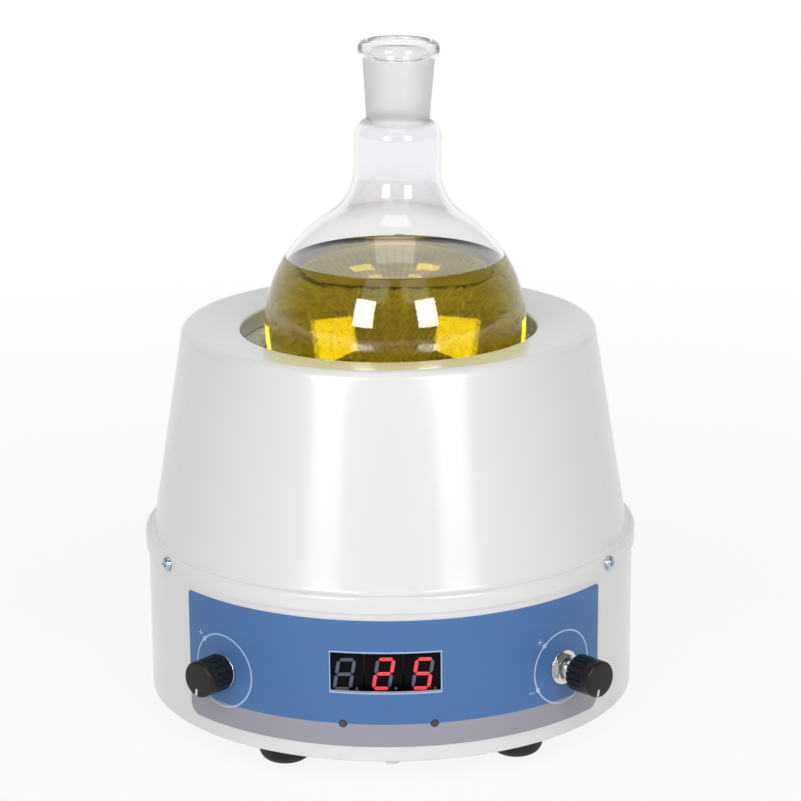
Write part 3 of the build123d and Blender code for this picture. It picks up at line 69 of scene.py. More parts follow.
class Slot(str, Enum):
    """Material slot names that the scene's own pieces are listed with."""

    ENAMEL = "housing_enamel"
    ZINC_SHEET = "zinc_sheet"
    FASTENER = "zinc_fasteners"
    NICKEL = "nickel_fittings"
    RUBBER = "foot_rubber"
    PANEL = "panel_print"
    DISPLAY = "display_black"
    LIT = "led_lit"
    UNLIT = "led_unlit"
    SWITCH = "switch_black"
    KNOB = "knob_black"
    POT = "pot_metal"
    GLASS = "flask_glass"
    LIQUID = "bath_oil"
    WOVEN = "woven_fibre"
    BRASS = "pin_brass"


# ---------------------------------------------------------------- shader tools


class Wire:
    """A value socket that takes part in Python arithmetic."""

    def __init__(self, nodes: "NodeTree", socket: bpy.types.NodeSocket) -> None:
        """Wraps one output socket of a tree."""
        self.nodes = nodes
        self.socket = socket

    def maths(self, operation: str, *others: Value) -> "Wire":
        """Adds one Math node.

        Args:
            operation: The Math node's operation.
            *others: Further operands after this one.

        Returns:
            The node's result.
        """
        return self.nodes.maths(operation, self, *others)

    def __add__(self, other: Value) -> "Wire":
        """Sum."""
        return self.maths("ADD", other)

    def __mul__(self, other: Value) -> "Wire":
        """Product."""
        return self.maths("MULTIPLY", other)

    def __sub__(self, other: Value) -> "Wire":
        """Difference."""
        return self.maths("SUBTRACT", other)

    def __rsub__(self, other: Value) -> "Wire":
        """Reflected difference."""
        return self.nodes.maths("SUBTRACT", other, self)

    def __truediv__(self, other: Value) -> "Wire":
        """Quotient."""
        return self.maths("DIVIDE", other)

    def __abs__(self) -> "Wire":
        """Absolute value."""
        return self.maths("ABSOLUTE")

    def limited(self) -> "Wire":
        """This value kept between 0 and 1."""
        return self.maths("MAXIMUM", 0.0).maths("MINIMUM", 1.0)

    def either(self, other: Value) -> "Wire":
        """The larger of two masks."""
        return self.maths("MAXIMUM", other)

    def both(self, other: Value) -> "Wire":
        """The smaller of two masks."""
        return self.maths("MINIMUM", other)


class NodeTree:
    """Adds nodes to a tree and feeds their sockets."""

    def __init__(self, tree: bpy.types.NodeTree) -> None:
        """Wraps a tree."""
        self.tree = tree

    def feed(self, node: bpy.types.Node, key: Union[str, int], value: Feed) -> None:
        """Sets or links one input of a node.

        Args:
            node: The node.
            key: The input's name or index.
            value: A number, a colour, or what to link.
        """
        socket = node.inputs[key]
        if isinstance(value, Wire):
            value = value.socket
        if isinstance(value, bpy.types.NodeSocket):
            self.tree.links.new(value, socket)
        elif socket.type == "RGBA" and len(value) == 3:
            socket.default_value = (*value, 1.0)
        else:
            socket.default_value = value

    def node(self, kind: str, settings: Optional[dict] = None,
             inputs: Optional[dict] = None) -> bpy.types.Node:
        """Adds any node.

        Args:
            kind: The node's type.
            settings: Its settings, set first.
            inputs: Its sockets' values or links.

        Returns:
            The node.
        """
        node = self.tree.nodes.new(kind)
        for key, value in (settings or {}).items():
            setattr(node, key, value)
        for key, value in (inputs or {}).items():
            self.feed(node, key, value)
        return node

    def maths(self, operation: str, *values: Feed) -> Wire:
        """Result of one Math node."""
        node = self.node("ShaderNodeMath", {"operation": operation}, dict(enumerate(values)))
        return Wire(self, node.outputs[0])

    def between(self, factor: Feed, low: Feed, high: Feed) -> Wire:
        """Value between two values.

        Args:
            factor: 0 for the low value, 1 for the high one.
            low: A number or a link.
            high: A number or a link.

        Returns:
            The value.
        """
        return Wire(self, self.node("ShaderNodeMix", inputs={0: factor, 2: low,
                                                             3: high}).outputs[0])


class Paint(NodeTree):
    """One node material round a Principled shader."""

    def __init__(self, name: str, **constants: Union[float, Sequence[float]]) -> None:
        """Starts a material.

        Args:
            name: The material's name.
            **constants: Principled sockets that are the same all over, with _ for a space.
        """
        self.material = bpy.data.materials.new(name)
        self.material.use_nodes = True
        super().__init__(self.material.node_tree)
        self.tree.nodes.clear()
        self.output = self.node("ShaderNodeOutputMaterial")
        self.shader = self.node("ShaderNodeBsdfPrincipled")
        self.feed(self.output, "Surface", self.shader.outputs[0])
        for key, value in constants.items():
            self.set(key.replace("_", " "), value)

    def coordinates(self) -> tuple[Wire, Wire, Wire]:
        """Object coordinates in millimetres, as three values."""
        place = self.node("ShaderNodeTexCoord").outputs["Object"]
        split = self.node("ShaderNodeSeparateXYZ", inputs={0: place})
        return tuple(Wire(self, split.outputs[i]) * MM_PER_METRE for i in range(3))

    def noise(self, scale: float, detail: float = 2.0) -> Wire:
        """Noise on object coordinates, about 0 to 1."""
        place = self.node("ShaderNodeTexCoord").outputs["Object"]
        node = self.node("ShaderNodeTexNoise",
                         inputs={"Vector": place, "Scale": scale, "Detail": detail})
        return Wire(self, node.outputs[0])

    def mixed(self, factor: Value, first: Feed, second: Feed) -> bpy.types.NodeSocket:
        """Colour between two colours.

        Args:
            factor: 0 for the first, 1 for the second.
            first: A colour or a link.
            second: A colour or a link.

        Returns:
            The mixed colour's socket.
        """
        node = self.node("ShaderNodeMix", {"data_type": "RGBA"}, {0: factor, 6: first, 7: second})
        return node.outputs[2]

    def bump(self, height: Wire, distance: float, strength: float = 1.0) -> None:
        """Feeds a height to the shader's normal.

        Args:
            height: Height from 0 to 1.
            distance: What a height of 1 stands for, in metres.
            strength: Share of the bump that shows.
        """
        node = self.node("ShaderNodeBump",
                         inputs={"Height": height, "Distance": distance, "Strength": strength})
        self.set("Normal", node.outputs[0])

    def set(self, key: str, value: Feed) -> None:
        """Feeds one of the shader's sockets."""
        self.feed(self.shader, key, value)


def step(value: Wire, edge: Value, softness: float) -> Wire:
    """Soft step.

    Args:
        value: What is compared.
        edge: Where the step is.
        softness: How wide the step is.

    Returns:
        0 below the edge and 1 above it.
    """
    return ((value - edge) / softness + 0.5).limited()


def band(value: Wire, centre: Value, half_width: float, softness: float) -> Wire:
    """1 within half_width of centre, with soft edges."""
    return 1.0 - step(abs(value - centre), half_width, softness)


def shaded(colour: Colour, share: float, lift: float = 0.0) -> Colour:
    """A colour times a share, plus a lift, and at most 1."""
    return tuple(min(1.0, share * c + lift) for c in colour)


# ---------------------------------------------------------------- finishes


@dataclass(frozen=True)
class Enamel:
    """Gloss stoved enamel on steel."""

    colour: Colour = (0.80, 0.80, 0.79)
    roughness: float = 0.24
    roughness_swing: float = 0.05
    coat: float = 0.35
    coat_roughness: float = 0.12
    tone_scale: float = 9.0
    cloud_scale: float = 60.0
    peel_scale: float = 420.0
    peel: float = 0.02

    def build(self) -> bpy.types.Material:
        """Material with a slight orange peel."""
        paint = Paint("gloss_enamel", Coat_Weight=self.coat, Coat_Roughness=self.coat_roughness,
                      Specular_IOR_Level=0.5)
        tone = paint.noise(self.tone_scale, 3.0)
        paint.set("Base Color", paint.mixed(tone, self.colour, shaded(self.colour, 0.975)))
        paint.set("Roughness", paint.noise(self.cloud_scale) * self.roughness_swing
                  + (self.roughness - self.roughness_swing / 2))
        paint.bump(paint.noise(self.peel_scale, 1.0), self.peel * MM, 0.25)
        return paint.material


@dataclass(frozen=True)
class Metal:
    """Plated, turned or drawn metal."""

    name: str
    colour: Colour
    roughness: float
    cloud_scale: float = 140.0
    cloud_share: float = 0.72
    roughness_swing: float = 0.18
    roughness_drop: float = 0.05
    grain_scale: float = 900.0
    grain: float = 0.01

    def build(self) -> bpy.types.Material:
        """Metal with fine grain and cloudy plating."""
        paint = Paint(self.name, Metallic=1.0)
        cloud = paint.noise(self.cloud_scale, 4.0)
        darker = shaded(self.colour, self.cloud_share)
        paint.set("Base Color", paint.mixed(cloud, self.colour, darker))
        paint.set("Roughness", cloud * self.roughness_swing
                  + (self.roughness - self.roughness_drop))
        paint.bump(paint.noise(self.grain_scale), self.grain * MM, 0.5)
        return paint.material


@dataclass(frozen=True)
class Moulding:
    """Moulded plastic or rubber."""

    name: str
    colour: Colour
    roughness: float
    texture: float = 0.03
    dust: float = 0.25
    gloss: float = 0.5
    cloud_scale: float = 90.0
    cloud_middle: float = 0.45
    roughness_swing: float = 0.12
    texture_scale: float = 2600.0

    def build(self) -> bpy.types.Material:
        """Plastic with a fine moulded grain and faint dust."""
        paint = Paint(self.name, Specular_IOR_Level=self.gloss)
        cloud = paint.noise(self.cloud_scale, 5.0)
        paler = shaded(self.colour, 1.0, 0.02 + self.dust * 0.05)
        dusty = (cloud - self.cloud_middle) * self.dust * 4.0
        paint.set("Base Color", paint.mixed(dusty, self.colour, paler))
        paint.set("Roughness", cloud * self.roughness_swing
                  + (self.roughness - self.roughness_swing / 2))
        paint.bump(paint.noise(self.texture_scale), self.texture * MM, 0.35)
        return paint.material


@dataclass(frozen=True)
class FlaskGlass:
    """Clear glass with a ground socket."""

    colour: Colour = (0.985, 0.99, 0.99)
    ground_colour: Colour = (0.93, 0.915, 0.92)
    ior: float = 1.46
    ground_from: float = 234.3
    ground_to: float = 260.0
    neck_from: float = 196.0
    neck_colour: Colour = (0.935, 0.93, 0.95)
    neck_blend: float = 14.0
    bead_frost: float = 0.12
    frost: float = 0.30
    frost_swing: float = 0.10
    frost_scale: float = 500.0

    def build(self) -> bpy.types.Material:
        """Glass that is frosted between the shoulder and the bead."""
        paint = Paint("clear_glass", Base_Color=self.colour, IOR=self.ior, Transmission_Weight=1.0)
        _, _, z = paint.coordinates()
        above = step(z, self.ground_from, 2.0)
        ground = above.both(1.0 - step(z, self.ground_to, 2.5))
        frost = paint.noise(self.frost_scale, 3.0) * self.frost_swing + self.frost
        paint.set("Roughness", (above * self.bead_frost).either(ground * frost))
        thicker = step(z, self.neck_from, self.neck_blend)
        clear = paint.mixed(thicker, self.colour, self.neck_colour)
        paint.set("Base Color", paint.mixed(ground, clear, self.ground_colour))
        return paint.material


@dataclass(frozen=True)
class OilLiquid:
    """Clear yellow-green liquid."""

    absorbed: Colour = (0.985, 0.938, 0.0)
    density: float = 45.0
    ior: float = 1.36

    def build(self) -> bpy.types.Material:
        """Refracting liquid whose colour deepens with depth."""
        paint = Paint("yellow_liquid", Base_Color=(1.0, 1.0, 1.0), IOR=self.ior,
                      Transmission_Weight=1.0, Roughness=0.0, Specular_Tint=(0.0, 0.0, 0.0))
        volume = paint.node("ShaderNodeVolumeAbsorption",
                            inputs={"Color": self.absorbed, "Density": self.density})
        paint.feed(paint.output, "Volume", volume.outputs[0])
        return paint.material


@dataclass(frozen=True)
class WovenFibre:
    """Glass fibre yarn."""

    name: str
    colour: Colour = (0.74, 0.71, 0.58)
    stain_scale: float = 55.0
    stain_share: float = 0.62
    strand_scale: float = 2400.0
    strand_depth: float = 0.1

    def build(self) -> bpy.types.Material:
        """Fibre with strands and stains."""
        paint = Paint(self.name, Roughness=0.85, Sheen_Weight=0.2)
        stains = (paint.noise(self.stain_scale, 4.0) - 0.45) * 2.2
        darker = shaded(self.colour, self.stain_share)
        paint.set("Base Color", paint.mixed(stains, self.colour, darker))
        paint.bump(paint.noise(self.strand_scale), self.strand_depth * MM, 0.6)
        return paint.material


@dataclass(frozen=True)
class Glow:
    """Display bars: the lit ones glow as lamps, the unlit ones carry a faint painted glow."""

    name: str
    colour: Colour
    emission: Colour
    strength: float
    cloud_scale: float = 700.0

    def build(self) -> bpy.types.Material:
        """Diffuser that glows a little unevenly along its bar."""
        paint = Paint(self.name, Roughness=0.35, Emission_Strength=self.strength)
        cloud = paint.noise(self.cloud_scale, 1.0)
        paint.set("Base Color", paint.mixed(cloud, self.colour, shaded(self.colour, 1.3, 0.01)))
        dimmer = shaded(self.emission, 0.75)
        paint.set("Emission Color", paint.mixed(cloud, self.emission, dimmer))
        return paint.material


@dataclass(frozen=True)
class CircuitBoard:
    """Solder mask with tracks."""

    mask: Colour = (0.012, 0.09, 0.035)
    copper: Colour = (0.04, 0.2, 0.07)
    pitch: float = 2.54
    half_width: float = 0.25

    def build(self) -> bpy.types.Material:
        """Green board with paler tracks on a grid."""
        paint = Paint("solder_mask", Roughness=0.35, Coat_Weight=0.3)
        x, y, z = paint.coordinates()
        across = (x + y + z).maths("PINGPONG", self.pitch)
        track = band(across, self.pitch / 2, self.half_width, 0.1)
        pick = step(paint.noise(130.0), 0.52, 0.04)
        paint.set("Base Color", paint.mixed(track * pick, self.mask, self.copper))
        return paint.material


@dataclass(frozen=True)
class PanelPrint:
    """Printed control panel: a blue field over a grey band, with pale lines."""

    radius: float = 97.4
    blue: Colour = (0.056, 0.160, 0.372)
    grey: Colour = (0.335, 0.325, 0.375)
    pale: Colour = (0.48, 0.60, 0.80)
    split: float = 23.2
    speed_azimuth: float = -41.5
    heat_azimuth: float = 42.3
    dial_height: float = 36.2
    dial_radius: float = 14.4
    line: float = 0.30
    window_centre: Point = (-2.3, 43.6)
    window_half: Point = (21.35, 8.4)
    window_corner: float = 0.2
    window_inset: float = 0.35
    arrow_turns: tuple[float, float] = (132.5, 207.0)
    arrow_size: float = 1.05
    plus_turn: float = 133.5
    minus_turn: float = 204.5
    sign_reach: float = 17.3
    sign_half: float = 1.2
    sign_line: float = 0.16

    def build(self) -> bpy.types.Material:
        """Sheet whose print follows the housing's curve."""
        paint = Paint("printed_sheet", Roughness=0.42, Specular_IOR_Level=0.4)
        x, y, z = paint.coordinates()
        azimuth = paint.maths("ARCTAN2", x, 0.0 - y)
        along = azimuth * self.radius
        field = step(z, self.split, 0.12)
        mottle = paint.noise(45.0, 4.0)
        blue = paint.mixed(mottle, self.blue, shaded(self.blue, 1.12))
        base = paint.mixed(field, self.grey, blue)
        marks = self._dial(along, z, self.speed_azimuth, False)
        marks = marks.either(self._dial(along, z, self.heat_azimuth, True))
        centre_u, centre_v = self.window_centre
        marks = marks.either(self._window(along - centre_u, z - centre_v))
        paint.set("Base Color", paint.mixed(marks * 0.95, base, self.pale))
        paint.bump(paint.noise(1500.0, 2.0), 0.01 * MM, 0.3)
        return paint.material

    def _window(self, u: Wire, v: Wire) -> Wire:
        """Printed line just inside the window frame's rounded rectangle."""
        a = abs(u) - (self.window_half[0] - self.window_corner)
        b = abs(v) - (self.window_half[1] - self.window_corner)
        out_a, out_b = a.either(0.0), b.either(0.0)
        reach = (out_a * out_a + out_b * out_b).maths("SQRT") + a.either(b).both(0.0)
        return band(reach, self.window_corner - self.window_inset, 0.25, 0.15)

    def _dial(self, along: Wire, z: Wire, azimuth: float, with_minus: bool) -> Wire:
        """Printed ring with its arrowheads and signs.

        Args:
            along: Distance round the housing.
            z: Height.
            azimuth: The control's azimuth in degrees.
            with_minus: Whether the lower sign is printed.

        Returns:
            The marks' mask.
        """
        u = along - radians(azimuth) * self.radius
        v = z - self.dial_height
        marks = band((u * u + v * v).maths("SQRT"), self.dial_radius, self.line, 0.12)
        for turn in self.arrow_turns:
            marks = marks.either(self._arrow(u, v, radians(turn)))
        marks = marks.either(self._sign(u, v, radians(self.plus_turn), True))
        if with_minus:
            marks = marks.either(self._sign(u, v, radians(self.minus_turn), False))
        return marks

    def _arrow(self, u: Wire, v: Wire, turn: float) -> Wire:
        """Small arrowhead across the ring, at an angle from its right side."""
        off_u = u - self.dial_radius * cos(turn)
        off_v = v - self.dial_radius * sin(turn)
        a = off_u * cos(turn) + off_v * sin(turn)
        b = off_v * cos(turn) - off_u * sin(turn)
        return band(abs(a) + abs(b) * 0.6, 0.0, self.arrow_size, 0.25)

    def _sign(self, u: Wire, v: Wire, turn: float, plus: bool) -> Wire:
        """Plus or minus sign outside the ring."""
        a = u - self.sign_reach * cos(turn)
        b = v - self.sign_reach * sin(turn)
        across = self._bar(a, b)
        return across.either(self._bar(b, a)) if plus else across

    def _bar(self, along: Wire, across: Wire) -> Wire:
        """One stroke of a sign."""
        return band(along, 0.0, self.sign_half, 0.15).both(band(across, 0.0, self.sign_line, 0.12))


@dataclass(frozen=True)
class RockerFace:
    """Black switch moulding with its on and off marks."""

    azimuth: float = 194.0
    height: float = 36.0
    reach: float = 4.4
    black: Colour = (0.018, 0.018, 0.019)
    white: Colour = (0.7, 0.7, 0.68)
    roughness: float = 0.36
    line: float = 0.28
    bar_half: float = 1.5
    ring_radius: float = 1.35
    outside_from: float = 95.0

    def build(self) -> bpy.types.Material:
        """Plastic with a bar above and a ring below."""
        paint = Paint("rocker_black", Roughness=self.roughness)
        x, y, z = paint.coordinates()
        a = radians(self.azimuth)
        u = x * cos(a) + y * sin(a)
        v = z - self.height
        bar = band(u, 0.0, self.line, 0.1).both(band(v, self.reach, self.bar_half, 0.1))
        low = v + self.reach
        ring = band((u * u + low * low).maths("SQRT"), self.ring_radius, self.line, 0.1)
        outside = step(x * sin(a) - y * cos(a), self.outside_from, 0.2)
        cloud = paint.noise(90.0, 5.0)
        unmarked = paint.mixed(cloud, self.black, shaded(self.black, 1.0, 0.02))
        marks = bar.either(ring).both(outside)
        paint.set("Base Color", paint.mixed(marks, unmarked, self.white))
        paint.bump(paint.noise(2600.0), 0.02 * MM, 0.3)
        return paint.material


class Finishes:
    """Every material of the object, built once."""

    def __init__(self) -> None:
        """Builds the finishes."""
        self.enamel = Enamel().build()
        self.zinc_sheet = Metal("zinc_sheet", (0.62, 0.63, 0.65), 0.42).build()
        self.fastener = Metal("blue_zinc", (0.56, 0.64, 0.72), 0.22).build()
        self.satin = Metal("satin_zinc", (0.86, 0.86, 0.87), 0.5).build()
        self.nickel = Metal("bright_nickel", (0.80, 0.79, 0.76), 0.16).build()
        self.rubber = Moulding("foot_rubber", (0.010, 0.010, 0.011), 0.6, 0.06, 0.1, 0.35).build()
        self.panel = PanelPrint().build()
        self.display = Moulding("display_black", (0.002, 0.002, 0.004), 0.3, 0.002, 0.0,
                                0.08).build()
        self.lit = Glow("lit_bar", (0.4, 0.02, 0.02), (1.0, 0.055, 0.085), 1.0).build()
        # the unlit bars get a faint painted glow: their emission lightens them though they are not
        # lit
        self.unlit = Glow("dark_bar", (0.085, 0.10, 0.15), (0.04, 0.05, 0.08), 0.25).build()
        self.board = CircuitBoard().build()
        self.switch = Moulding("switch_black", (0.018, 0.018, 0.019), 0.4).build()
        self.button = Moulding("button_grey", (0.06, 0.055, 0.06), 0.5).build()
        self.rocker = RockerFace().build()
        self.knob = Moulding("knob_black", (0.010, 0.009, 0.009), 0.34, 0.012, 0.05, 0.3).build()
        self.pointer = Moulding("pointer_white", (0.78, 0.78, 0.76), 0.5, 0.004, 0.0).build()
        self.turned = Metal("turned_steel", (0.64, 0.63, 0.60), 0.3).build()
        self.glass = FlaskGlass().build()
        self.liquid = OilLiquid().build()
        self.woven = WovenFibre("felted_fibre").build()
        self.yarn = WovenFibre("knit_yarn", (0.88, 0.86, 0.74)).build()
        self.wool = Moulding("mineral_wool", (0.62, 0.58, 0.48), 0.95, 0.3, 0.6).build()
        self.aluminium = Metal("spun_aluminium", (0.78, 0.78, 0.79), 0.35).build()
        self.steel = Metal("drawn_steel", (0.55, 0.55, 0.56), 0.28).build()
        self.motor = Metal("dark_plate", (0.16, 0.16, 0.17), 0.45).build()
        self.capacitor = Moulding("capacitor_sleeve", (0.012, 0.02, 0.06), 0.3, 0.004).build()
        self.brass = Metal("plated_brass", (0.76, 0.70, 0.55), 0.25).build()


# ---------------------------------------------------------------- mesh tools


def placed(name: str, mesh: bpy.types.Mesh) -> bpy.types.Object:
    """Object with a mesh, linked to the scene."""
    piece = bpy.data.objects.new(name, mesh)
    bpy.context.scene.collection.objects.link(piece)
    return piece


def finish_mesh(name: str, vertices: Iterable, faces: Iterable, material: bpy.types.Material,
                smooth_angle: float = 32.0) -> bpy.types.Object:
    """Makes an object whose place is in its mesh.

    Args:
        name: The piece's name.
        vertices: Points in metres.
        faces: Lists of vertex indices.
        material: The piece's material.
        smooth_angle: Edges sharper than this stay sharp, in degrees.

    Returns:
        The object, linked to the scene.
    """
    mesh = bpy.data.meshes.new(name)
    mesh.from_pydata([tuple(v) for v in vertices], [], [tuple(f) for f in faces])
    mesh.materials.append(material)
    clean_mesh(mesh)
    smooth(mesh, smooth_angle)
    return placed(name, mesh)


def clean_mesh(mesh: bpy.types.Mesh) -> None:
    """Merges doubles and turns every face outwards."""
    work = bmesh.new()
    work.from_mesh(mesh)
    bmesh.ops.remove_doubles(work, verts=work.verts, dist=SAME_POINT)
    bmesh.ops.recalc_face_normals(work, faces=work.faces)
    work.to_mesh(mesh)
    work.free()
    mesh.update()


def smooth(mesh: bpy.types.Mesh, angle: float) -> None:
    """Smooth shading with sharp edges above an angle in degrees."""
    mesh.polygons.foreach_set("use_smooth", [True] * len(mesh.polygons))
    mesh.set_sharp_from_angle(angle=radians(angle))


def lathe(profile: Sequence[Point], segments: int) -> tuple[list, list]:
    """Turns a profile of (radius, height) about +Z.

    Args:
        profile: Points in metres, open or closed; points on the axis become poles.
        segments: Steps round the axis.

    Returns:
        Vertices and faces.
    """
    angles = [i * (2 * pi / segments) for i in range(segments)]
    vertices = [(r * cos(a), r * sin(a), z) for r, z in profile for a in angles]
    faces = []
    for row in range(len(profile) - 1):
        for i in range(segments):
            j = (i + 1) % segments
            a, b = row * segments + i, row * segments + j
            faces.append((a, b, b + segments, a + segments))
    return vertices, faces


def swept(angles: Sequence[float], rows: Sequence[Sequence[Point]],
          closed: bool) -> tuple[list, list]:
    """Joins outlines that stand at angles round +Z.

    Args:
        angles: Angle of each outline, in radians.
        rows: Outlines of (radius, height) in millimetres, all as long.
        closed: Whether the last outline joins the first.

    Returns:
        Vertices and faces.
    """
    vertices = [(r * cos(a) * MM, r * sin(a) * MM, z * MM)
                for a, row in zip(angles, rows) for r, z in row]
    count = len(rows[0])
    pairs = [(i * count, (i + 1) % len(rows) * count) for i in range(len(rows) - (not closed))]
    faces = [(here + j, there + j, there + j + 1, here + j + 1)
             for here, there in pairs for j in range(count - 1)]
    return vertices, faces


def rounded(corners: Sequence[tuple[float, float, float]], closed: bool,
            step_angle: float = 12.0) -> list[Point]:
    """Rounds a polyline's corners.

    Args:
        corners: (x, y, radius) of each corner.
        closed: Whether the last corner joins the first.
        step_angle: Largest turn between two arc points, in degrees.

    Returns:
        The outline's points; a closed one repeats its first point.
    """
    count = len(corners)
    points: list[Point] = []
    for index, (x, y, radius) in enumerate(corners):
        if radius <= 0 or (not closed and index in (0, count - 1)):
            points.append((x, y))
            continue
        here = Vector((x, y))
        before = Vector(corners[index - 1][:2]) - here
        after = Vector(corners[(index + 1) % count][:2]) - here
        half = before.angle(after) / 2
        reach = radius / tan(half)
        start = here + before.normalized() * reach
        end = here + after.normalized() * reach
        inwards = (before.normalized() + after.normalized()).normalized()
        centre = here + inwards * (radius / sin(half))
        first = start - centre
        turn = first.angle_signed(end - centre, 0.0)
        steps = max(2, int(abs(turn) / radians(step_angle)) + 1)
        for i in range(steps + 1):
            a = -turn * i / steps
            points.append((centre.x + first.x * cos(a) - first.y * sin(a),
                           centre.y + first.x * sin(a) + first.y * cos(a)))
    if closed:
        points.append(points[0])
    return points


def arc(centre: Point, radius: float, start: float, end: float, steps: int) -> list[Point]:
    """Points of an arc between two angles in radians, both ends included."""
    return [(centre[0] + radius * cos(a), centre[1] + radius * sin(a))
            for a in (start + (end - start) * i / steps for i in range(steps + 1))]


def in_metres(points: Sequence[Point]) -> list[Point]:
    """Millimetre points in metres."""
    return [(x * MM, y * MM) for x, y in points]


def facing(azimuth: float, distance: float, height: float) -> Matrix:
    """Frame on the housing whose +Z points away from the axis and +Y up.

    Args:
        azimuth: Degrees from -Y towards +X.
        distance: Distance from the axis, in millimetres.
        height: Height, in millimetres.

    Returns:
        The frame's matrix, in metres.
    """
    a = radians(azimuth)
    out = Vector((sin(a), -cos(a), 0.0))
    right = Vector((cos(a), sin(a), 0.0))
    up = Vector((0.0, 0.0, 1.0))
    place = out * distance * MM + up * height * MM
    return Matrix(((right.x, up.x, out.x, place.x), (right.y, up.y, out.y, place.y),
                   (right.z, up.z, out.z, place.z), (0, 0, 0, 1)))


def moved(vertices: Iterable, matrix: Matrix) -> list[Vector]:
    """Vertices through a matrix."""
    return [matrix @ Vector(v) for v in vertices]


def joined(*parts: tuple[list, list]) -> tuple[list, list]:
    """Several vertex and face lists as one."""
    vertices: list = []
    faces: list = []
    for points, polygons in parts:
        base = len(vertices)
        vertices.extend(points)
        faces.extend([tuple(i + base for i in f) for f in polygons])
    return vertices, faces


def seat(piece: bpy.types.Object, body: Body, slot: Slot, *nodes: str) -> None:
    """Puts a piece on its body and in place of its nodes."""
    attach(piece, body.value)
    if nodes:
        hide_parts(*nodes)
    LOG.info("%s: %d faces on %s", piece.name, len(piece.data.polygons), body.value)


def copy_of(node: str, name: str, material: bpy.types.Material, angle: float = 25.0,
            bevel: float = 0.0) -> bpy.types.Object:
    """Merged and softened copy of a CAD node.

    Args:
        node: The CAD node.
        name: The copy's name.
        material: Its material.
        angle: Edges sharper than this stay sharp, in degrees.
        bevel: Width of the broken edges, in millimetres.

    Returns:
        The copy.
    """
    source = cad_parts[node]
    mesh = source.data.copy()
    mesh.name = name
    mesh.materials.clear()
    mesh.materials.append(material)
    work = bmesh.new()
    work.from_mesh(mesh)
    bmesh.ops.remove_doubles(work, verts=work.verts, dist=SAME_CAD_POINT)
    if bevel:
        bmesh.ops.dissolve_limit(work, angle_limit=FLAT_ANGLE, verts=work.verts,
                                 edges=work.edges)
    work.to_mesh(mesh)
    work.free()
    stored = mesh.attributes.get("custom_normal")
    if stored:
        mesh.attributes.remove(stored)
    smooth(mesh, angle)
    piece = placed(name, mesh)
    if bevel:
        edge = piece.modifiers.new("broken_edges", "BEVEL")
        edge.width = bevel * MM
        edge.segments = 2
        edge.limit_method = "ANGLE"
        edge.angle_limit = BEVEL_ANGLE
        edge.harden_normals = False
        plain(piece)
        smooth(piece.data, angle)
    return piece


def plain(piece: bpy.types.Object) -> None:
    """Applies every modifier of a piece."""
    graph = bpy.context.evaluated_depsgraph_get()
    graph.update()
    mesh = bpy.data.meshes.new_from_object(piece.evaluated_get(graph), depsgraph=graph)
    piece.modifiers.clear()
    old = piece.data
    piece.data = mesh
    bpy.data.meshes.remove(old)


def solid_of_turning(name: str, outline: Sequence[Point], material: bpy.types.Material,
                     segments: int = 96,
                     place: Optional[Matrix] = None, angle: float = 32.0) -> bpy.types.Object:
    """Turned piece from a closed outline in millimetres.

    Args:
        name: The piece's name.
        outline: Closed outline of (radius, height).
        material: Its material.
        segments: Steps round the axis.
        place: Where the axis stands, if not on the origin's.
        angle: Edges sharper than this stay sharp, in degrees.

    Returns:
        The piece.
    """
    vertices, faces = lathe(in_metres(outline), segments)
    if place is not None:
        vertices = moved(vertices, place)
    return finish_mesh(name, vertices, faces, material, angle)


def round_normals(piece: bpy.types.Object, angle: float = 20.0) -> None:
    """Shades faces that are nearly square to the housing's radius as a true cylinder.

    Args:
        piece: A piece that follows the housing's curve.
        angle: How far a face may lean from the radius, in degrees.
    """
    mesh = piece.data
    normals = [tuple(corner.vector) for corner in mesh.corner_normals]
    limit = cos(radians(angle))
    for face in mesh.polygons:
        middle = Vector((face.center.x, face.center.y, 0.0)).normalized()
        facing_out = face.normal.dot(middle)
        if abs(facing_out) < limit:
            continue
        side = 1.0 if facing_out > 0 else -1.0
        for corner in face.loop_indices:
            spot = mesh.vertices[mesh.loops[corner].vertex_index].co
            normals[corner] = tuple(Vector((spot.x, spot.y, 0.0)).normalized() * side)
    mesh.normals_split_custom_set(normals)


# ---------------------------------------------------------------- geometry nodes


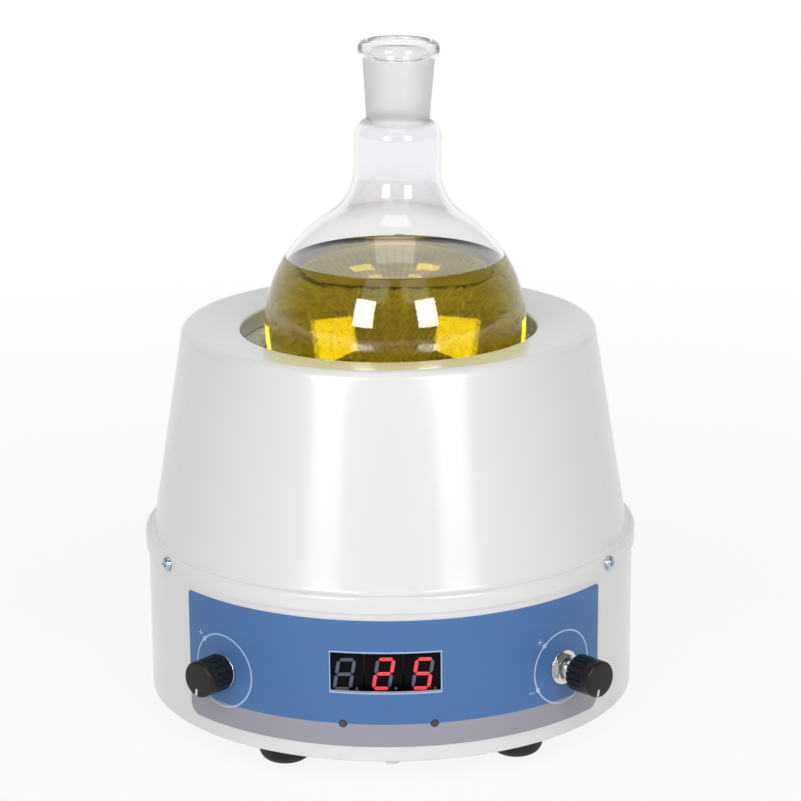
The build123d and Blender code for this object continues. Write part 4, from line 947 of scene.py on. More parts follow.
class Growth(NodeTree):
    """A geometry node tree with named inputs, whose result becomes a plain mesh."""

    SOCKETS = {int: "NodeSocketInt", float: "NodeSocketFloat",
               bpy.types.Material: "NodeSocketMaterial"}

    def __init__(self, name: str, **values: Union[int, float, bpy.types.Material]) -> None:
        """Starts a tree.

        Args:
            name: The tree's name.
            **values: Its inputs and what they are set to, Material among them.
        """
        super().__init__(bpy.data.node_groups.new(name, "GeometryNodeTree"))
        self.values = values
        self.keys: dict[str, str] = {}
        interface = self.tree.interface
        for side in ("INPUT", "OUTPUT"):
            interface.new_socket("Geometry", in_out=side, socket_type="NodeSocketGeometry")
        for label, value in values.items():
            kind = self.SOCKETS[type(value)]
            socket = interface.new_socket(label, in_out="INPUT", socket_type=kind)
            self.keys[label] = socket.identifier
        self.source = self.node("NodeGroupInput")
        self.sink = self.node("NodeGroupOutput")

    def given(self, label: str) -> Wire:
        """One of the tree's named inputs."""
        return Wire(self, self.source.outputs[label])

    def turned(self, geometry: Feed, count: Wire) -> bpy.types.NodeSocket:
        """Copies of a geometry, evenly turned about +Z."""
        points = self.node("GeometryNodePoints", inputs={"Count": count})
        index = self.node("GeometryNodeInputIndex").outputs[0]
        turn = self.maths("MULTIPLY", index, self.maths("DIVIDE", 2 * pi, count))
        spin = self.node("ShaderNodeCombineXYZ", inputs={"Z": turn}).outputs[0]
        copies = self.node("GeometryNodeInstanceOnPoints",
                           inputs={"Points": points.outputs[0], "Instance": geometry,
                                   "Rotation": spin})
        return copies.outputs[0]

    def finish(self, geometry: Feed) -> None:
        """Ends the tree in Realize Instances and Set Material."""
        real = self.node("GeometryNodeRealizeInstances", inputs={"Geometry": geometry})
        dressed = self.node("GeometryNodeSetMaterial",
                            inputs={"Geometry": real.outputs[0],
                                    "Material": self.given("Material")})
        self.feed(self.sink, 0, dressed.outputs[0])

    def grow(self, piece: bpy.types.Object, angle: float = 32.0) -> None:
        """Runs the tree on a piece and keeps the result as its plain mesh.

        Args:
            piece: The piece whose mesh goes into the tree.
            angle: Edges sharper than this stay sharp, in degrees.
        """
        modifier = piece.modifiers.new(self.tree.name, "NODES")
        modifier.node_group = self.tree
        for label, value in self.values.items():
            modifier[self.keys[label]] = value
        plain(piece)
        piece.data.materials.clear()
        piece.data.materials.append(self.values["Material"])
        piece.data.polygons.foreach_set("material_index", [0] * len(piece.data.polygons))
        clean_mesh(piece.data)
        smooth(piece.data, angle)


class RingArray(Growth):
    """One shape repeated round +Z."""

    def __init__(self, count: int, material: bpy.types.Material) -> None:
        """Builds the tree for a count of copies."""
        super().__init__("ring_array", Count=count, Material=material)
        self.finish(self.turned(self.given("Geometry"), self.given("Count")))


class ScrewThread(Growth):
    """A ridge wound round +Z."""

    STEPS = 28
    RIDGE_SHARE = 0.42

    def __init__(self, radius: float, length: float, pitch: float,
                 material: bpy.types.Material) -> None:
        """Builds the thread from its root radius, length and pitch, in metres."""
        super().__init__("screw_thread", Radius=radius, Length=length, Pitch=pitch,
                         Material=material)
        turns = self.given("Length") / self.given("Pitch")
        helix = self.node("GeometryNodeCurveSpiral",
                          inputs={"Resolution": self.STEPS, "Rotations": turns,
                                  "Start Radius": self.given("Radius"),
                                  "End Radius": self.given("Radius"),
                                  "Height": self.given("Length")})
        ridge = self.node("GeometryNodeCurvePrimitiveCircle", {"mode": "RADIUS"},
                          {"Resolution": 4, "Radius": self.given("Pitch") * self.RIDGE_SHARE})
        swept = self.node("GeometryNodeCurveToMesh",
                          inputs={"Curve": helix.outputs[0], "Profile Curve": ridge.outputs[0],
                                  "Fill Caps": True})
        self.finish(swept.outputs[0])


class KnitRows(Growth):
    """Rows of knitted loops along a profile, turned round +Z."""

    HEAD_SHARE = 0.46
    FOOT_SHARE = 0.12
    HEIGHT_SHARE = 0.62
    LIFT_SHARE = 1.1
    BELLY_SHARE = 0.9

    def __init__(self, rows: int, columns: int, width: float, height: float, strand: float,
                 material: bpy.types.Material) -> None:
        """Builds the knit.

        Args:
            rows: Loops along the profile.
            columns: Loops round the axis.
            width: Width of a loop, in metres.
            height: Height of a loop, in metres.
            strand: Radius of the yarn, in metres.
            material: The yarn's material.
        """
        super().__init__("knit_rows", Rows=rows, Columns=columns, Width=width, Height=height,
                         Strand=strand,
                         Material=material)
        profile = self.node("GeometryNodeMeshToCurve", inputs={"Mesh": self.given("Geometry")})
        stations = self.node("GeometryNodeCurveToPoints", {"mode": "COUNT"},
                             {"Curve": profile.outputs[0], "Count": self.given("Rows")})
        turn = self.node("FunctionNodeAxesToRotation", {"primary_axis": "Z",
                                                        "secondary_axis": "Y"},
                         {0: stations.outputs["Tangent"], 1: (0.0, 1.0, 0.0)})
        legs = self.node("GeometryNodeJoinGeometry")
        for side in (1.0, -1.0):
            self.feed(legs, 0, self._leg(side))
        row = self.node("GeometryNodeInstanceOnPoints",
                        inputs={"Points": stations.outputs[0], "Instance": legs.outputs[0],
                                "Rotation": turn.outputs[0]})
        self.finish(self.turned(row.outputs[0], self.given("Columns")))

    def _leg(self, side: float) -> bpy.types.NodeSocket:
        """One arched leg of the loop, left or right of its middle."""
        half_width = self.given("Width") * (self.HEAD_SHARE * side)
        foot_shift = self.given("Width") * (self.FOOT_SHARE * side)
        half_height = self.given("Height") * self.HEIGHT_SHARE
        start = self.node("ShaderNodeCombineXYZ",
                          inputs={"Y": foot_shift, "Z": half_height * -1.0})
        end = self.node("ShaderNodeCombineXYZ", inputs={"Y": half_width, "Z": half_height})
        middle = self.node("ShaderNodeCombineXYZ",
                           inputs={"X": self.given("Strand") * self.LIFT_SHARE,
                                   "Y": half_width * self.BELLY_SHARE, "Z": 0.0})
        arch = self.node("GeometryNodeCurveQuadraticBezier",
                         inputs={"Resolution": 4, "Start": start.outputs[0],
                                 "Middle": middle.outputs[0],
                                 "End": end.outputs[0]})
        yarn = self.node("GeometryNodeCurvePrimitiveCircle", {"mode": "RADIUS"},
                         {"Resolution": 5, "Radius": self.given("Strand")})
        swept = self.node("GeometryNodeCurveToMesh",
                          inputs={"Curve": arch.outputs[0], "Profile Curve": yarn.outputs[0],
                                  "Fill Caps": True})
        return swept.outputs[0]


# ---------------------------------------------------------------- sub-assemblies


@dataclass(frozen=True)
class Softened:
    """How one CAD node is copied, softened and seated."""

    node: str
    name: str
    finish: str
    slot: Slot
    body: Body = Body.MANTLE
    angle: float = 30.0
    bevel: float = 0.0
    curved: bool = False


@dataclass
class SubAssembly:
    """Pieces that belong together, with their finishes.

    softened holds the CAD nodes that are copied, and carried the finish of each node that is
    carried over.
    """

    finishes: Finishes
    softened: ClassVar[tuple[Softened, ...]] = ()
    carried: ClassVar[dict[str, str]] = {}

    def build(self) -> None:
        """Makes the copies, dresses the carried-over nodes and shapes the rest."""
        for row in self.softened:
            piece = copy_of(row.node, row.name, getattr(self.finishes, row.finish), row.angle,
                            row.bevel)
            if row.curved:
                round_normals(piece)
            seat(piece, row.body, row.slot, row.node)
        for node, finish in self.carried.items():
            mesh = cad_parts[node].data
            mesh.materials.clear()
            mesh.materials.append(getattr(self.finishes, finish))
            LOG.info("%s: carried over with %s", node, finish)
        self.shape()

    def shape(self) -> None:
        """Makes the pieces that are shaped anew."""


@dataclass
class Cover(SubAssembly):
    """Spun and enamelled upper cover with its screws."""

    skirt_radius: float = 98.1
    skirt_bottom: float = 67.2
    ledge_height: float = 73.5
    wall_foot_radius: float = 94.8
    shoulder: Point = (81.4, 155.7)
    mouth: Point = (58.5, 153.4)
    collar_bottom: float = 146.4
    wall: float = 1.0
    rolls: tuple[float, float, float, float] = (1.2, 1.6, 3.8, 1.2)
    screw_height: float = 70.7
    screw_start: float = -61.2
    screw_count: int = 3
    head_radius: float = 3.0
    head_depth: float = 2.2
    head_lift: float = 0.02
    head_dome: float = 0.75
    head_edge: float = 0.86
    recess_width: float = 0.95
    recess_length: float = 3.6
    recess_depth: float = 0.9
    head_rings: int = 26
    head_steps: int = 64
    segments: int = 256
    side_slope: float = 0.16
    end_slope: float = 0.3

    def shape(self) -> None:
        """Makes the cover and its screws."""
        self._shell()
        self._screws()

    def _shell(self) -> None:
        """Spun sheet from the skirt over the shoulder to the collar."""
        outside = [(self.skirt_radius, self.skirt_bottom), (self.skirt_radius, self.ledge_height),
                   (self.wall_foot_radius, self.ledge_height), self.shoulder, self.mouth,
                   (self.mouth[0], self.collar_bottom)]
        inside = self._offset(outside)
        edge_foot, foot, shoulder, mouth = self.rolls
        wall = self.wall
        outer_rolls = (0.0, edge_foot, foot, shoulder, mouth, 0.0)
        inner_rolls = (0.0, max(edge_foot - wall, 0.1), foot + wall, shoulder - wall,
                       mouth - wall, 0.0)
        outer = rounded([(*p, r) for p, r in zip(outside, outer_rolls)], False, 7.0)
        inner = rounded([(*p, r) for p, r in zip(inside, inner_rolls)], False, 12.0)
        outline = self._even(outer) + inner[::-1]
        outline.append(outline[0])
        piece = solid_of_turning("upper_cover_shell", outline, self.finishes.enamel,
                                 self.segments, angle=50.0)
        seat(piece, Body.MANTLE, Slot.ENAMEL, "upper_cover")

    def _offset(self, path: Sequence[Point]) -> list[Point]:
        """The path's copy one wall further in."""
        result: list[Point] = []
        for index, (x, y) in enumerate(path):
            headings = []
            if index:
                headings.append(atan2(y - path[index - 1][1], x - path[index - 1][0]))
            if index < len(path) - 1:
                headings.append(atan2(path[index + 1][1] - y, path[index + 1][0] - x))
            turn = (headings[-1] - headings[0] + pi) % (2 * pi) - pi
            left = headings[0] + turn / 2 + pi / 2
            reach = self.wall / cos(turn / 2)
            result.append((x + reach * cos(left), y + reach * sin(left)))
        return result

    @staticmethod
    def _even(points: Sequence[Point], longest: float = 14.0) -> list[Point]:
        """Splits long straight runs so that no face is a sliver."""
        result = [points[0]]
        for (x0, y0), (x1, y1) in zip(points, points[1:]):
            parts = max(1, int(hypot(x1 - x0, y1 - y0) / longest) + 1)
            result.extend((x0 + (x1 - x0) * i / parts,
                           y0 + (y1 - y0) * i / parts) for i in range(1, parts + 1))
        return result

    def _screws(self) -> None:
        """Three cross recessed screws round the skirt."""
        rings, steps = self.head_rings, self.head_steps
        vertices = []
        for ring in range(rings + 1):
            reach = self.head_radius * ring / rings
            for index in range(steps):
                a = 2 * pi * index / steps
                vertices.append(self._head_point(reach * cos(a), reach * sin(a)))
        for z in (0.5, 0.0):
            for index in range(steps):
                a = 2 * pi * index / steps
                vertices.append((self.head_radius * cos(a), self.head_radius * sin(a), z))
        vertices.extend([(0.0, 0.0, 0.0)] * steps)
        faces = [(r * steps + i, r * steps + (i + 1) % steps, (r + 1) * steps + (i + 1) % steps,
                  (r + 1) * steps + i) for r in range(rings + 3) for i in range(steps)]
        place = facing(self.screw_start, self.skirt_radius + self.head_lift, self.screw_height)
        points = moved([Vector(v) * MM for v in vertices], place)
        screw = finish_mesh("cover_screw_heads", points, faces, self.finishes.fastener, 40.0)
        RingArray(self.screw_count, self.finishes.fastener).grow(screw, 40.0)
        seat(screw, Body.MANTLE, Slot.FASTENER, "cover_screws")

    def _head_point(self, x: float, y: float) -> tuple[float, float, float]:
        """Height of the domed head at a point, with its cross recess."""
        reach = hypot(x, y) / self.head_radius
        turned_down = max(0.0, (reach - self.head_edge) / (1.0 - self.head_edge))
        height = self.head_depth - self.head_dome * (reach ** 2 + turned_down ** 2)
        near, far = sorted((abs(x), abs(y)))
        inside = min(1.0, max(0.0, (self.recess_width / 2 - near) / self.side_slope))
        inside *= min(1.0, max(0.0, (self.recess_length / 2 - far) / self.end_slope))
        return x, y, height - self.recess_depth * inside


@dataclass
class Base(SubAssembly):
    """Enamelled housing with its bottom plate and rubber feet."""

    foot_circle: float = 82.7
    foot_half_angle: float = 32.5
    pattern_turn: float = 2.85
    top_radius: float = 11.0
    floor_radius: float = 9.3
    foot_height: float = 8.1
    well_radius: float = 4.6
    well_depth: float = 4.0
    tread_round: float = 5.0
    softened = (
        Softened("base_housing", "housing_can", "enamel", Slot.ENAMEL, angle=25.0, curved=True),
        Softened("bottom_plate", "base_plate", "zinc_sheet", Slot.ZINC_SHEET),
        Softened("foot_screws", "foot_screws_zinc", "satin", Slot.FASTENER, bevel=0.2),
        Softened("plate_screws", "plate_screws_zinc", "satin", Slot.FASTENER, bevel=0.2),
    )
    carried = {"plate_ring": "enamel", "foot_nuts": "fastener", "clip_nuts": "fastener"}

    def shape(self) -> None:
        """Makes the four feet."""
        half = self.foot_half_angle
        places = {"foot_front_left": -half, "foot_front_right": half, "foot_rear_left": half - 180,
                  "foot_rear_right": 180 - half}
        for name, azimuth in places.items():
            self._foot(name, azimuth + self.pattern_turn)

    def _foot(self, node: str, azimuth: float) -> None:
        """One rubber foot with a rounded tread and a well for its screw."""
        outline = rounded([(0.0, self.well_depth, 0.0), (self.well_radius, self.well_depth, 0.4),
                           (self.well_radius, 0.0, 0.2), (self.floor_radius, 0.0,
                                                          self.tread_round),
                           (self.top_radius, self.foot_height, 0.3),
                           (0.0, self.foot_height, 0.0)], False, 8.0)
        a, reach = radians(azimuth), self.foot_circle
        spot = Matrix.Translation((reach * sin(a) * MM, -reach * cos(a) * MM, 0.0))
        piece = solid_of_turning(node + "_rubber", outline, self.finishes.rubber, 72, spot, 40.0)
        seat(piece, Body.MANTLE, Slot.RUBBER, node)


@dataclass
class Panel(SubAssembly):
    """Printed panel with its display and buttons."""

    softened = (
        Softened("control_panel", "printed_panel", "panel", Slot.PANEL, angle=25.0, curved=True),
        *(Softened(node, node + "_module", "display", Slot.DISPLAY, angle=5.0)
          for node in ("digit_left", "digit_middle", "digit_right")),
        Softened("lit_bars", "lit_bars_diffuser", "lit", Slot.LIT, bevel=0.12),
        Softened("unlit_bars", "unlit_bars_diffuser", "unlit", Slot.UNLIT, bevel=0.12),
        Softened("set_button", "set_button_cap", "button", Slot.SWITCH, Body.SET, 40.0, 0.15),
        Softened("run_button", "run_button_cap", "button", Slot.SWITCH, Body.RUN, 40.0, 0.15),
    )
    carried = {"display_board": "board", "set_switch": "switch", "run_switch": "switch",
               "board_studs": "fastener", "board_nuts": "fastener"}


@dataclass
class Control(SubAssembly):
    """One potentiometer with its knob."""

    prefix: str
    body: Body
    azimuth: float
    knob_base: float
    pointer_turn: float
    height: float = 36.2
    radius: float = 7.1
    length: float = 11.8
    edge: float = 0.6
    flutes: int = 18
    flute_radius: float = 0.45
    flute_length: float = 7.2
    bore_radius: float = 6.1
    bore_depth: float = 5.5
    shaft_radius: float = 3.0
    bushing_radius: float = 3.5
    bushing_start: float = 97.6
    bushing_end: float = 104.0
    bushing_inset: float = 0.3
    pitch: float = 0.75
    shaft_fit: float = 0.02
    cap_depth: float = 1.1
    edge_break: float = 0.15
    line_half: float = 0.55
    line_length: float = 3.2
    line_proud: float = 0.05
    line_sunk: float = 0.2

    def __post_init__(self) -> None:
        """Names the two nodes that are carried over."""
        self.carried = {self.prefix + part: "turned" for part in ("_pot", "_shaft")}

    def shape(self) -> None:
        """Makes the knob, its pointer and the threaded bushing."""
        self._knob()
        self._pointer()
        self._thread()

    def _place(self) -> Matrix:
        """Frame on the control's axis, from the housing's axis outwards."""
        return facing(self.azimuth, 0.0, self.height)

    def _outline(self, depth: float) -> list[Point]:
        """Half section of the knob, with its flute cut to a depth."""
        start, end = self.knob_base, self.knob_base + self.length
        collar = start + self.flute_length
        outer, broken = self.radius - depth, self.edge_break
        bore, cap = self.shaft_radius + self.shaft_fit, end - self.cap_depth
        return [(bore, cap), (bore, start + self.bore_depth),
                (self.bore_radius, start + self.bore_depth), (self.bore_radius, start + 0.2),
                (self.bore_radius + 0.2, start), (outer - broken, start), (outer, start + broken),
                (outer, collar - depth * 0.3), (self.radius - 0.02, collar),
                (self.radius, collar + 0.12), (self.radius, end - self.edge),
                (self.radius - 0.12, end - self.edge * 0.62),
                (self.radius - self.edge + 0.08, end - 0.03),
                (self.radius - self.edge - broken, end), (0.0, end), (0.0, cap), (bore, cap)]

    def _knob(self) -> None:
        """Fluted knob from one turned sector."""
        sector = 2 * pi / self.flutes
        half = self.flute_radius / self.radius
        right = [half * 0.45, half * 0.8, half, half * 1.5, sector / 3, sector / 2]
        stops = [-a for a in right[::-1]] + [0.0] + right
        depths = [sqrt(max(0.0, 1 - (a / half) ** 2)) * self.flute_radius for a in stops]
        vertices, faces = swept(stops, [self._outline(depth) for depth in depths], False)
        name = self.prefix + "_knob_body"
        knob = finish_mesh(name, vertices, faces, self.finishes.knob)
        RingArray(self.flutes, self.finishes.knob).grow(knob, 38.0)
        knob.data.transform(self._place())
        seat(knob, self.body, Slot.KNOB, self.prefix + "_knob")

    def _pointer(self) -> None:
        """White line from the face over the edge onto the collar."""
        end = self.knob_base + self.length
        collar = self.knob_base + self.flute_length + 0.3
        path = [(self.radius - self.line_length, end), (self.radius - self.edge, end),
                (self.radius, end - self.edge), (self.radius, collar)]
        vertices = []
        for lift in (self.line_proud, -self.line_sunk):
            for reach, z in path:
                out = 0.0 if z >= end else lift
                up = lift if reach <= self.radius - self.edge else 0.0
                for side in (-self.line_half, self.line_half):
                    across = sqrt(max(0.0, (reach + out) ** 2 - side ** 2))
                    vertices.append((side * MM, -across * MM, (z + up) * MM))
        n = len(path)
        faces = [(0, 2 * n, 2 * n + 1, 1), (2 * n - 2, 2 * n - 1, 4 * n - 1, 4 * n - 2)]
        for a in range(0, 2 * n - 2, 2):
            b, c, d = a + 2, 2 * n + a, 2 * n + a + 2
            faces += [(a, a + 1, b + 1, b), (c, d, d + 1, c + 1), (a, b, d, c),
                      (a + 1, c + 1, d + 1, b + 1)]
        turn = Matrix.Rotation(radians(self.pointer_turn), 4, "Z")
        points = moved(vertices, self._place() @ turn)
        line = finish_mesh(self.prefix + "_knob_line", points, faces, self.finishes.pointer, 20.0)
        seat(line, self.body, Slot.KNOB)

    def _thread(self) -> None:
        """Thread on the part of the bushing that stands out of the panel."""
        name = self.prefix + "_bushing_thread"
        thread = finish_mesh(name, [(0, 0, 0)], [], self.finishes.nickel)
        length = (self.bushing_end - self.bushing_start - self.bushing_inset) * MM
        ScrewThread(self.bushing_radius * MM, length, self.pitch * MM,
                    self.finishes.nickel).grow(thread)
        start = Matrix.Translation((0, 0, self.bushing_start * MM))
        thread.data.transform(self._place() @ start)
        seat(thread, Body.MANTLE, Slot.POT)


@dataclass
class PanelNuts(SubAssembly):
    """Washers and hexagon nuts that hold both potentiometers."""

    azimuths: tuple[float, float] = (-41.5, 42.3)
    height: float = 36.2
    washer_back: float = 97.45
    washer_radius: float = 6.8
    thickness: float = 0.8
    flats: float = 10.0
    nut_height: float = 2.0
    bore: float = 3.75
    bore_break: float = 0.3
    washer_steps: int = 64
    nut_steps: int = 96
    face_share: float = 0.985
    chamfer: float = 30.0

    def shape(self) -> None:
        """Makes both washers as one piece, and both nuts."""
        washers, nuts = [], []
        for azimuth in self.azimuths:
            place = facing(azimuth, 0.0, self.height)
            ring, ring_faces = lathe(in_metres(self._washer()), self.washer_steps)
            washers.append((moved(ring, place), ring_faces))
            hexagon, hexagon_faces = self._nut()
            nuts.append((moved(hexagon, place), hexagon_faces))
        for name, parts, node in (("washer_rings", washers, "pot_washers"),
                                  ("panel_nuts", nuts, "pot_nuts")):
            piece = finish_mesh(name, *joined(*parts), self.finishes.nickel, 28.0)
            seat(piece, Body.MANTLE, Slot.NICKEL, node)

    def _washer(self) -> list[Point]:
        """Closed section of a washer with broken edges."""
        back, front = self.washer_back, self.washer_back + self.thickness
        return rounded([(self.bore, back, 0.05), (self.washer_radius, back, 0.1),
                        (self.washer_radius, front, 0.25), (self.bore, front, 0.15)], True, 25.0)

    def _nut(self) -> tuple[list, list]:
        """Hexagon with chamfered corners on both faces."""
        steps = self.nut_steps
        back = self.washer_back + self.thickness
        front = back + self.nut_height
        half = self.flats / 2
        face = half * self.face_share
        angles = [2 * pi * index / steps for index in range(steps)]
        rows: list[list[Point]] = []
        for angle in angles:
            corner = half / cos((angle + pi / 6) % (pi / 3) - pi / 6)
            drop = (corner - face) * tan(radians(self.chamfer))
            rows.append([(self.bore, back), (face, back), (corner, back + drop),
                         (corner, front - drop), (face, front), (self.bore + self.bore_break,
                                                                 front),
                         (self.bore, front - self.bore_break), (self.bore, back)])
        return swept(angles, rows, True)


@dataclass
class RearFittings(SubAssembly):
    """Mains inlet and rocker switch."""

    softened = (
        Softened("power_inlet", "power_inlet_moulding", "switch", Slot.SWITCH, bevel=0.25),
        Softened("rocker_frame", "rocker_frame_moulding", "switch", Slot.SWITCH, bevel=0.25),
        Softened("inlet_pins", "inlet_blades", "brass", Slot.BRASS, bevel=0.2),
        Softened("power_rocker", "rocker_paddle", "rocker", Slot.SWITCH, Body.ROCKER, bevel=0.2),
    )


@dataclass
class Flask(SubAssembly):
    """Round bottom flask with the liquid in it."""

    centre_x: float = 2.8
    bulb_height: float = 153.9
    lean: float = 1.1
    bulb_radius: float = 51.7
    wall: float = 1.8
    neck_radius: float = 17.0
    neck_fillet: float = 21.5
    neck_rise: float = 79.4
    neck_round: float = 7.0
    shoulder_rise: float = 2.5
    shoulder_drop: float = 1.1
    socket_foot: float = 12.3
    socket_top: float = 14.0
    bore_top: float = 12.0
    bore_foot: float = 10.55
    ground_length: float = 29.0
    bead_radius: float = 15.9
    bead_height: float = 6.6
    bead_rise: float = 2.0
    bead_round: float = 3.0
    flask_rise: float = 112.5
    liquid_rise: float = 26.3
    overlap: float = 0.3
    meniscus: float = 1.3
    meniscus_width: float = 5.0
    segments: int = 192
    bulb_steps: int = 56
    fillet_steps: int = 14
    liquid_steps: int = 60

    def shape(self) -> None:
        """Makes the glass and the liquid."""
        upright = Matrix.Translation((self.centre_x * MM, 0, self.bulb_height * MM))
        leaning = upright @ Matrix.Rotation(radians(self.lean), 4, "Y")
        for name, outline, material, place, slot, node in (
                ("flask_glass", self._glass(), self.finishes.glass, leaning, Slot.GLASS, "flask"),
                ("bath_liquid", self._liquid(), self.finishes.liquid, upright, Slot.LIQUID,
                 "liquid")):
            piece = solid_of_turning(name, outline, material, self.segments, place, 60.0)
            seat(piece, Body.MANTLE, slot, node)

    def _bulb(self, radius: float, neck: float, fillet: float) -> list[Point]:
        """Profile from the bulb's floor round into the neck."""
        centre_x = neck + fillet
        centre_y = sqrt((radius + fillet) ** 2 - centre_x ** 2)
        top = atan2(centre_y, centre_x)
        fillet_arc = arc((centre_x, centre_y), fillet, pi + top, pi, self.fillet_steps)
        return arc((0.0, 0.0), radius, -pi / 2, top, self.bulb_steps) + fillet_arc[1:]

    def _glass(self) -> list[Point]:
        """Closed section of the flask's wall."""
        outer = self._bulb(self.bulb_radius, self.neck_radius, self.neck_fillet)
        inner = self._bulb(self.bulb_radius - self.wall, self.neck_radius - self.wall,
                           self.neck_fillet + self.wall)
        top, neck = self.flask_rise, self.neck_rise
        floor = top - self.ground_length
        corners = [(*outer[-1], 0.0), (self.neck_radius, neck, self.neck_round),
                   (self.socket_foot, neck + self.shoulder_rise, 1.5),
                   (self.socket_top, top - self.bead_height, 1.2),
                   (self.bead_radius, top - self.bead_height + self.bead_rise, 1.8),
                   (self.bead_radius, top, self.bead_round), (self.bore_top, top, 0.8),
                   (self.bore_foot, floor, 0.0),
                   (self.bore_foot, neck + self.shoulder_rise - self.shoulder_drop, 1.5),
                   (self.neck_radius - self.wall, neck - self.shoulder_drop,
                    self.neck_round - self.wall),
                   (*inner[-1], 0.0)]
        wall = rounded(corners, False, 9.0)
        return outer[:-1] + wall + inner[::-1][1:]

    def _liquid(self) -> list[Point]:
        """Half section of the liquid, up to its level surface and its meniscus."""
        radius = self.bulb_radius - self.wall + self.overlap
        climb = self.liquid_rise + self.meniscus
        side = arc((0.0, 0.0), radius, -pi / 2, asin(climb / radius), self.liquid_steps)
        edge = side[-1][0]
        rise = [(edge - self.meniscus_width * t, self.liquid_rise + self.meniscus * (1 - t) ** 3)
                for t in (0.12, 0.25, 0.4, 0.6, 0.8, 1.0)]
        return side + rise + [(0.0, self.liquid_rise)]


@dataclass
class HeatingNest(SubAssembly):
    """Knitted bowl with its element, insulation and pan."""

    centre_x: float = 2.8
    centre_height: float = 153.9
    radius: float = 52.0
    wall: float = 3.0
    top: float = 146.2
    lip: float = 8.0
    rim_radius: float = 63.5
    knit_depth: float = 0.45
    rim_inset: float = 0.6
    knit_from: float = -68.0
    rows: int = 34
    columns: int = 96
    loop: Point = (3.5, 2.1)
    strand: float = 0.42
    segments: int = 160
    seat_steps: int = 36
    lip_steps: int = 12
    carried = {"heating_element": "woven", "insulation_bowl": "wool", "temperature_probe": "steel",
               "inner_pan": "aluminium", "pan_studs": "fastener", "pan_nuts": "fastener"}

    def shape(self) -> None:
        """Makes the bowl and its knit."""
        place = Matrix.Translation((self.centre_x * MM, 0, self.centre_height * MM))
        bowl = solid_of_turning("knitted_bowl", self._section(), self.finishes.woven,
                                self.segments, place, 60.0)
        seat(bowl, Body.MANTLE, Slot.WOVEN, "heating_bowl")
        path = self._profile(self.knit_depth * 0.75, self.knit_from)
        edges = [(i, i + 1) for i in range(len(path) - 1)]
        mesh = bpy.data.meshes.new("knit_stitches")
        mesh.from_pydata([(x * MM, 0.0, z * MM) for x, z in path], edges, [])
        knit = placed("knit_stitches", mesh)
        KnitRows(self.rows, self.columns, self.loop[0] * MM, self.loop[1] * MM, self.strand * MM,
                 self.finishes.yarn).grow(knit, 80.0)
        knit.data.transform(place)
        seat(knit, Body.MANTLE, Slot.WOVEN)

    def _profile(self, depth: float, start: float) -> list[Point]:
        """Seat, lip and rim below the bowl's own surface.

        Args:
            depth: How far below the surface.
            start: Angle of the seat's first point below the horizon, in degrees.

        Returns:
            Points of (radius, height above the bulb's centre).
        """
        lip_height = self.top - self.lip - self.centre_height
        lip_radius = sqrt((self.radius + self.lip) ** 2 - lip_height ** 2)
        down = atan2(lip_height, lip_radius)
        points = arc((0.0, 0.0), self.radius + depth, radians(start), down, self.seat_steps)
        points += arc((lip_radius, lip_height), self.lip - depth, pi + down, pi / 2,
                      self.lip_steps)[1:]
        points.append((self.rim_radius - self.rim_inset, points[-1][1]))
        return points

    def _section(self) -> list[Point]:
        """Closed section of the bowl's felt under the knit."""
        return self._profile(self.knit_depth, -90.0) + self._profile(self.wall, -90.0)[::-1]


@dataclass
class Stirrer(SubAssembly):
    """Motor with its magnets under the pan."""

    carried = {"motor_bridge": "zinc_sheet", "stir_motor": "motor", "motor_shaft": "turned",
               "magnet_carrier": "aluminium", "stirrer_magnets": "nickel",
               "motor_screws": "fastener", "bridge_screws": "fastener"}


@dataclass
class PowerBoard(SubAssembly):
    """Power board with its larger components."""

    carried = {"power_board": "board", "board_pillars": "turned", "power_transformer": "motor",
               "triac_heatsink": "aluminium", "filter_capacitor": "capacitor"}


# ---------------------------------------------------------------- studio


@dataclass(frozen=True)
class Lamp:
    """One rectangular area lamp that faces the object.

    Azimuths are in degrees from -Y towards +X, elevations in degrees above the horizon.
    """

    name: str
    azimuth: float
    elevation: float
    distance: float
    size: Point
    power: float
    on_surfaces: bool = True
    in_gloss: bool = True
    only_on: tuple[str, ...] = ()

    def build(self, side: float, receivers: bpy.types.Collection) -> None:
        """Places the lamp.

        Args:
            side: 1 for its own side, -1 for the other.
            receivers: The pieces that it lights, where only_on names any.
        """
        light = bpy.data.lights.new(self.name, "AREA")
        light.shape = "RECTANGLE"
        light.size, light.size_y = self.size
        light.energy = self.power
        lamp = bpy.data.objects.new(self.name, light)
        bpy.context.scene.collection.objects.link(lamp)
        a, e = radians(side * self.azimuth), radians(self.elevation)
        away = Vector((sin(a) * cos(e), -cos(a) * cos(e), sin(e)))
        lamp.location = Vector(LAMP_TARGET) + away * self.distance
        lamp.rotation_euler = (-away).to_track_quat("-Z", "Y").to_euler()
        if not self.on_surfaces:
            lamp.visible_diffuse = False
        if not self.in_gloss:
            lamp.visible_glossy = False
        if self.only_on:
            lamp.light_linking.receiver_collection = receivers


ENAMELLED = ("housing_can", "upper_cover_shell", "printed_panel")
LAMP_TARGET = (0.0, 0.0, 0.15)
PAIRED_LAMPS = (
    Lamp("softbox", 29.0, 21.0, 1.2, (0.38, 0.50), 2.3),
    Lamp("softbox_face", 29.0, 21.0, 1.19, (0.36, 0.48), 5.5, on_surfaces=False),
    Lamp("strip", 31.0, 3.0, 1.25, (0.34, 0.32), 1.5, only_on=ENAMELLED),
    Lamp("fill", 22.0, 42.0, 1.3, (0.5, 0.5), 1.5, in_gloss=False),
)
OVERHEAD = Lamp("overhead", 0.0, 82.0, 1.2, (0.6, 0.6), 2.0)


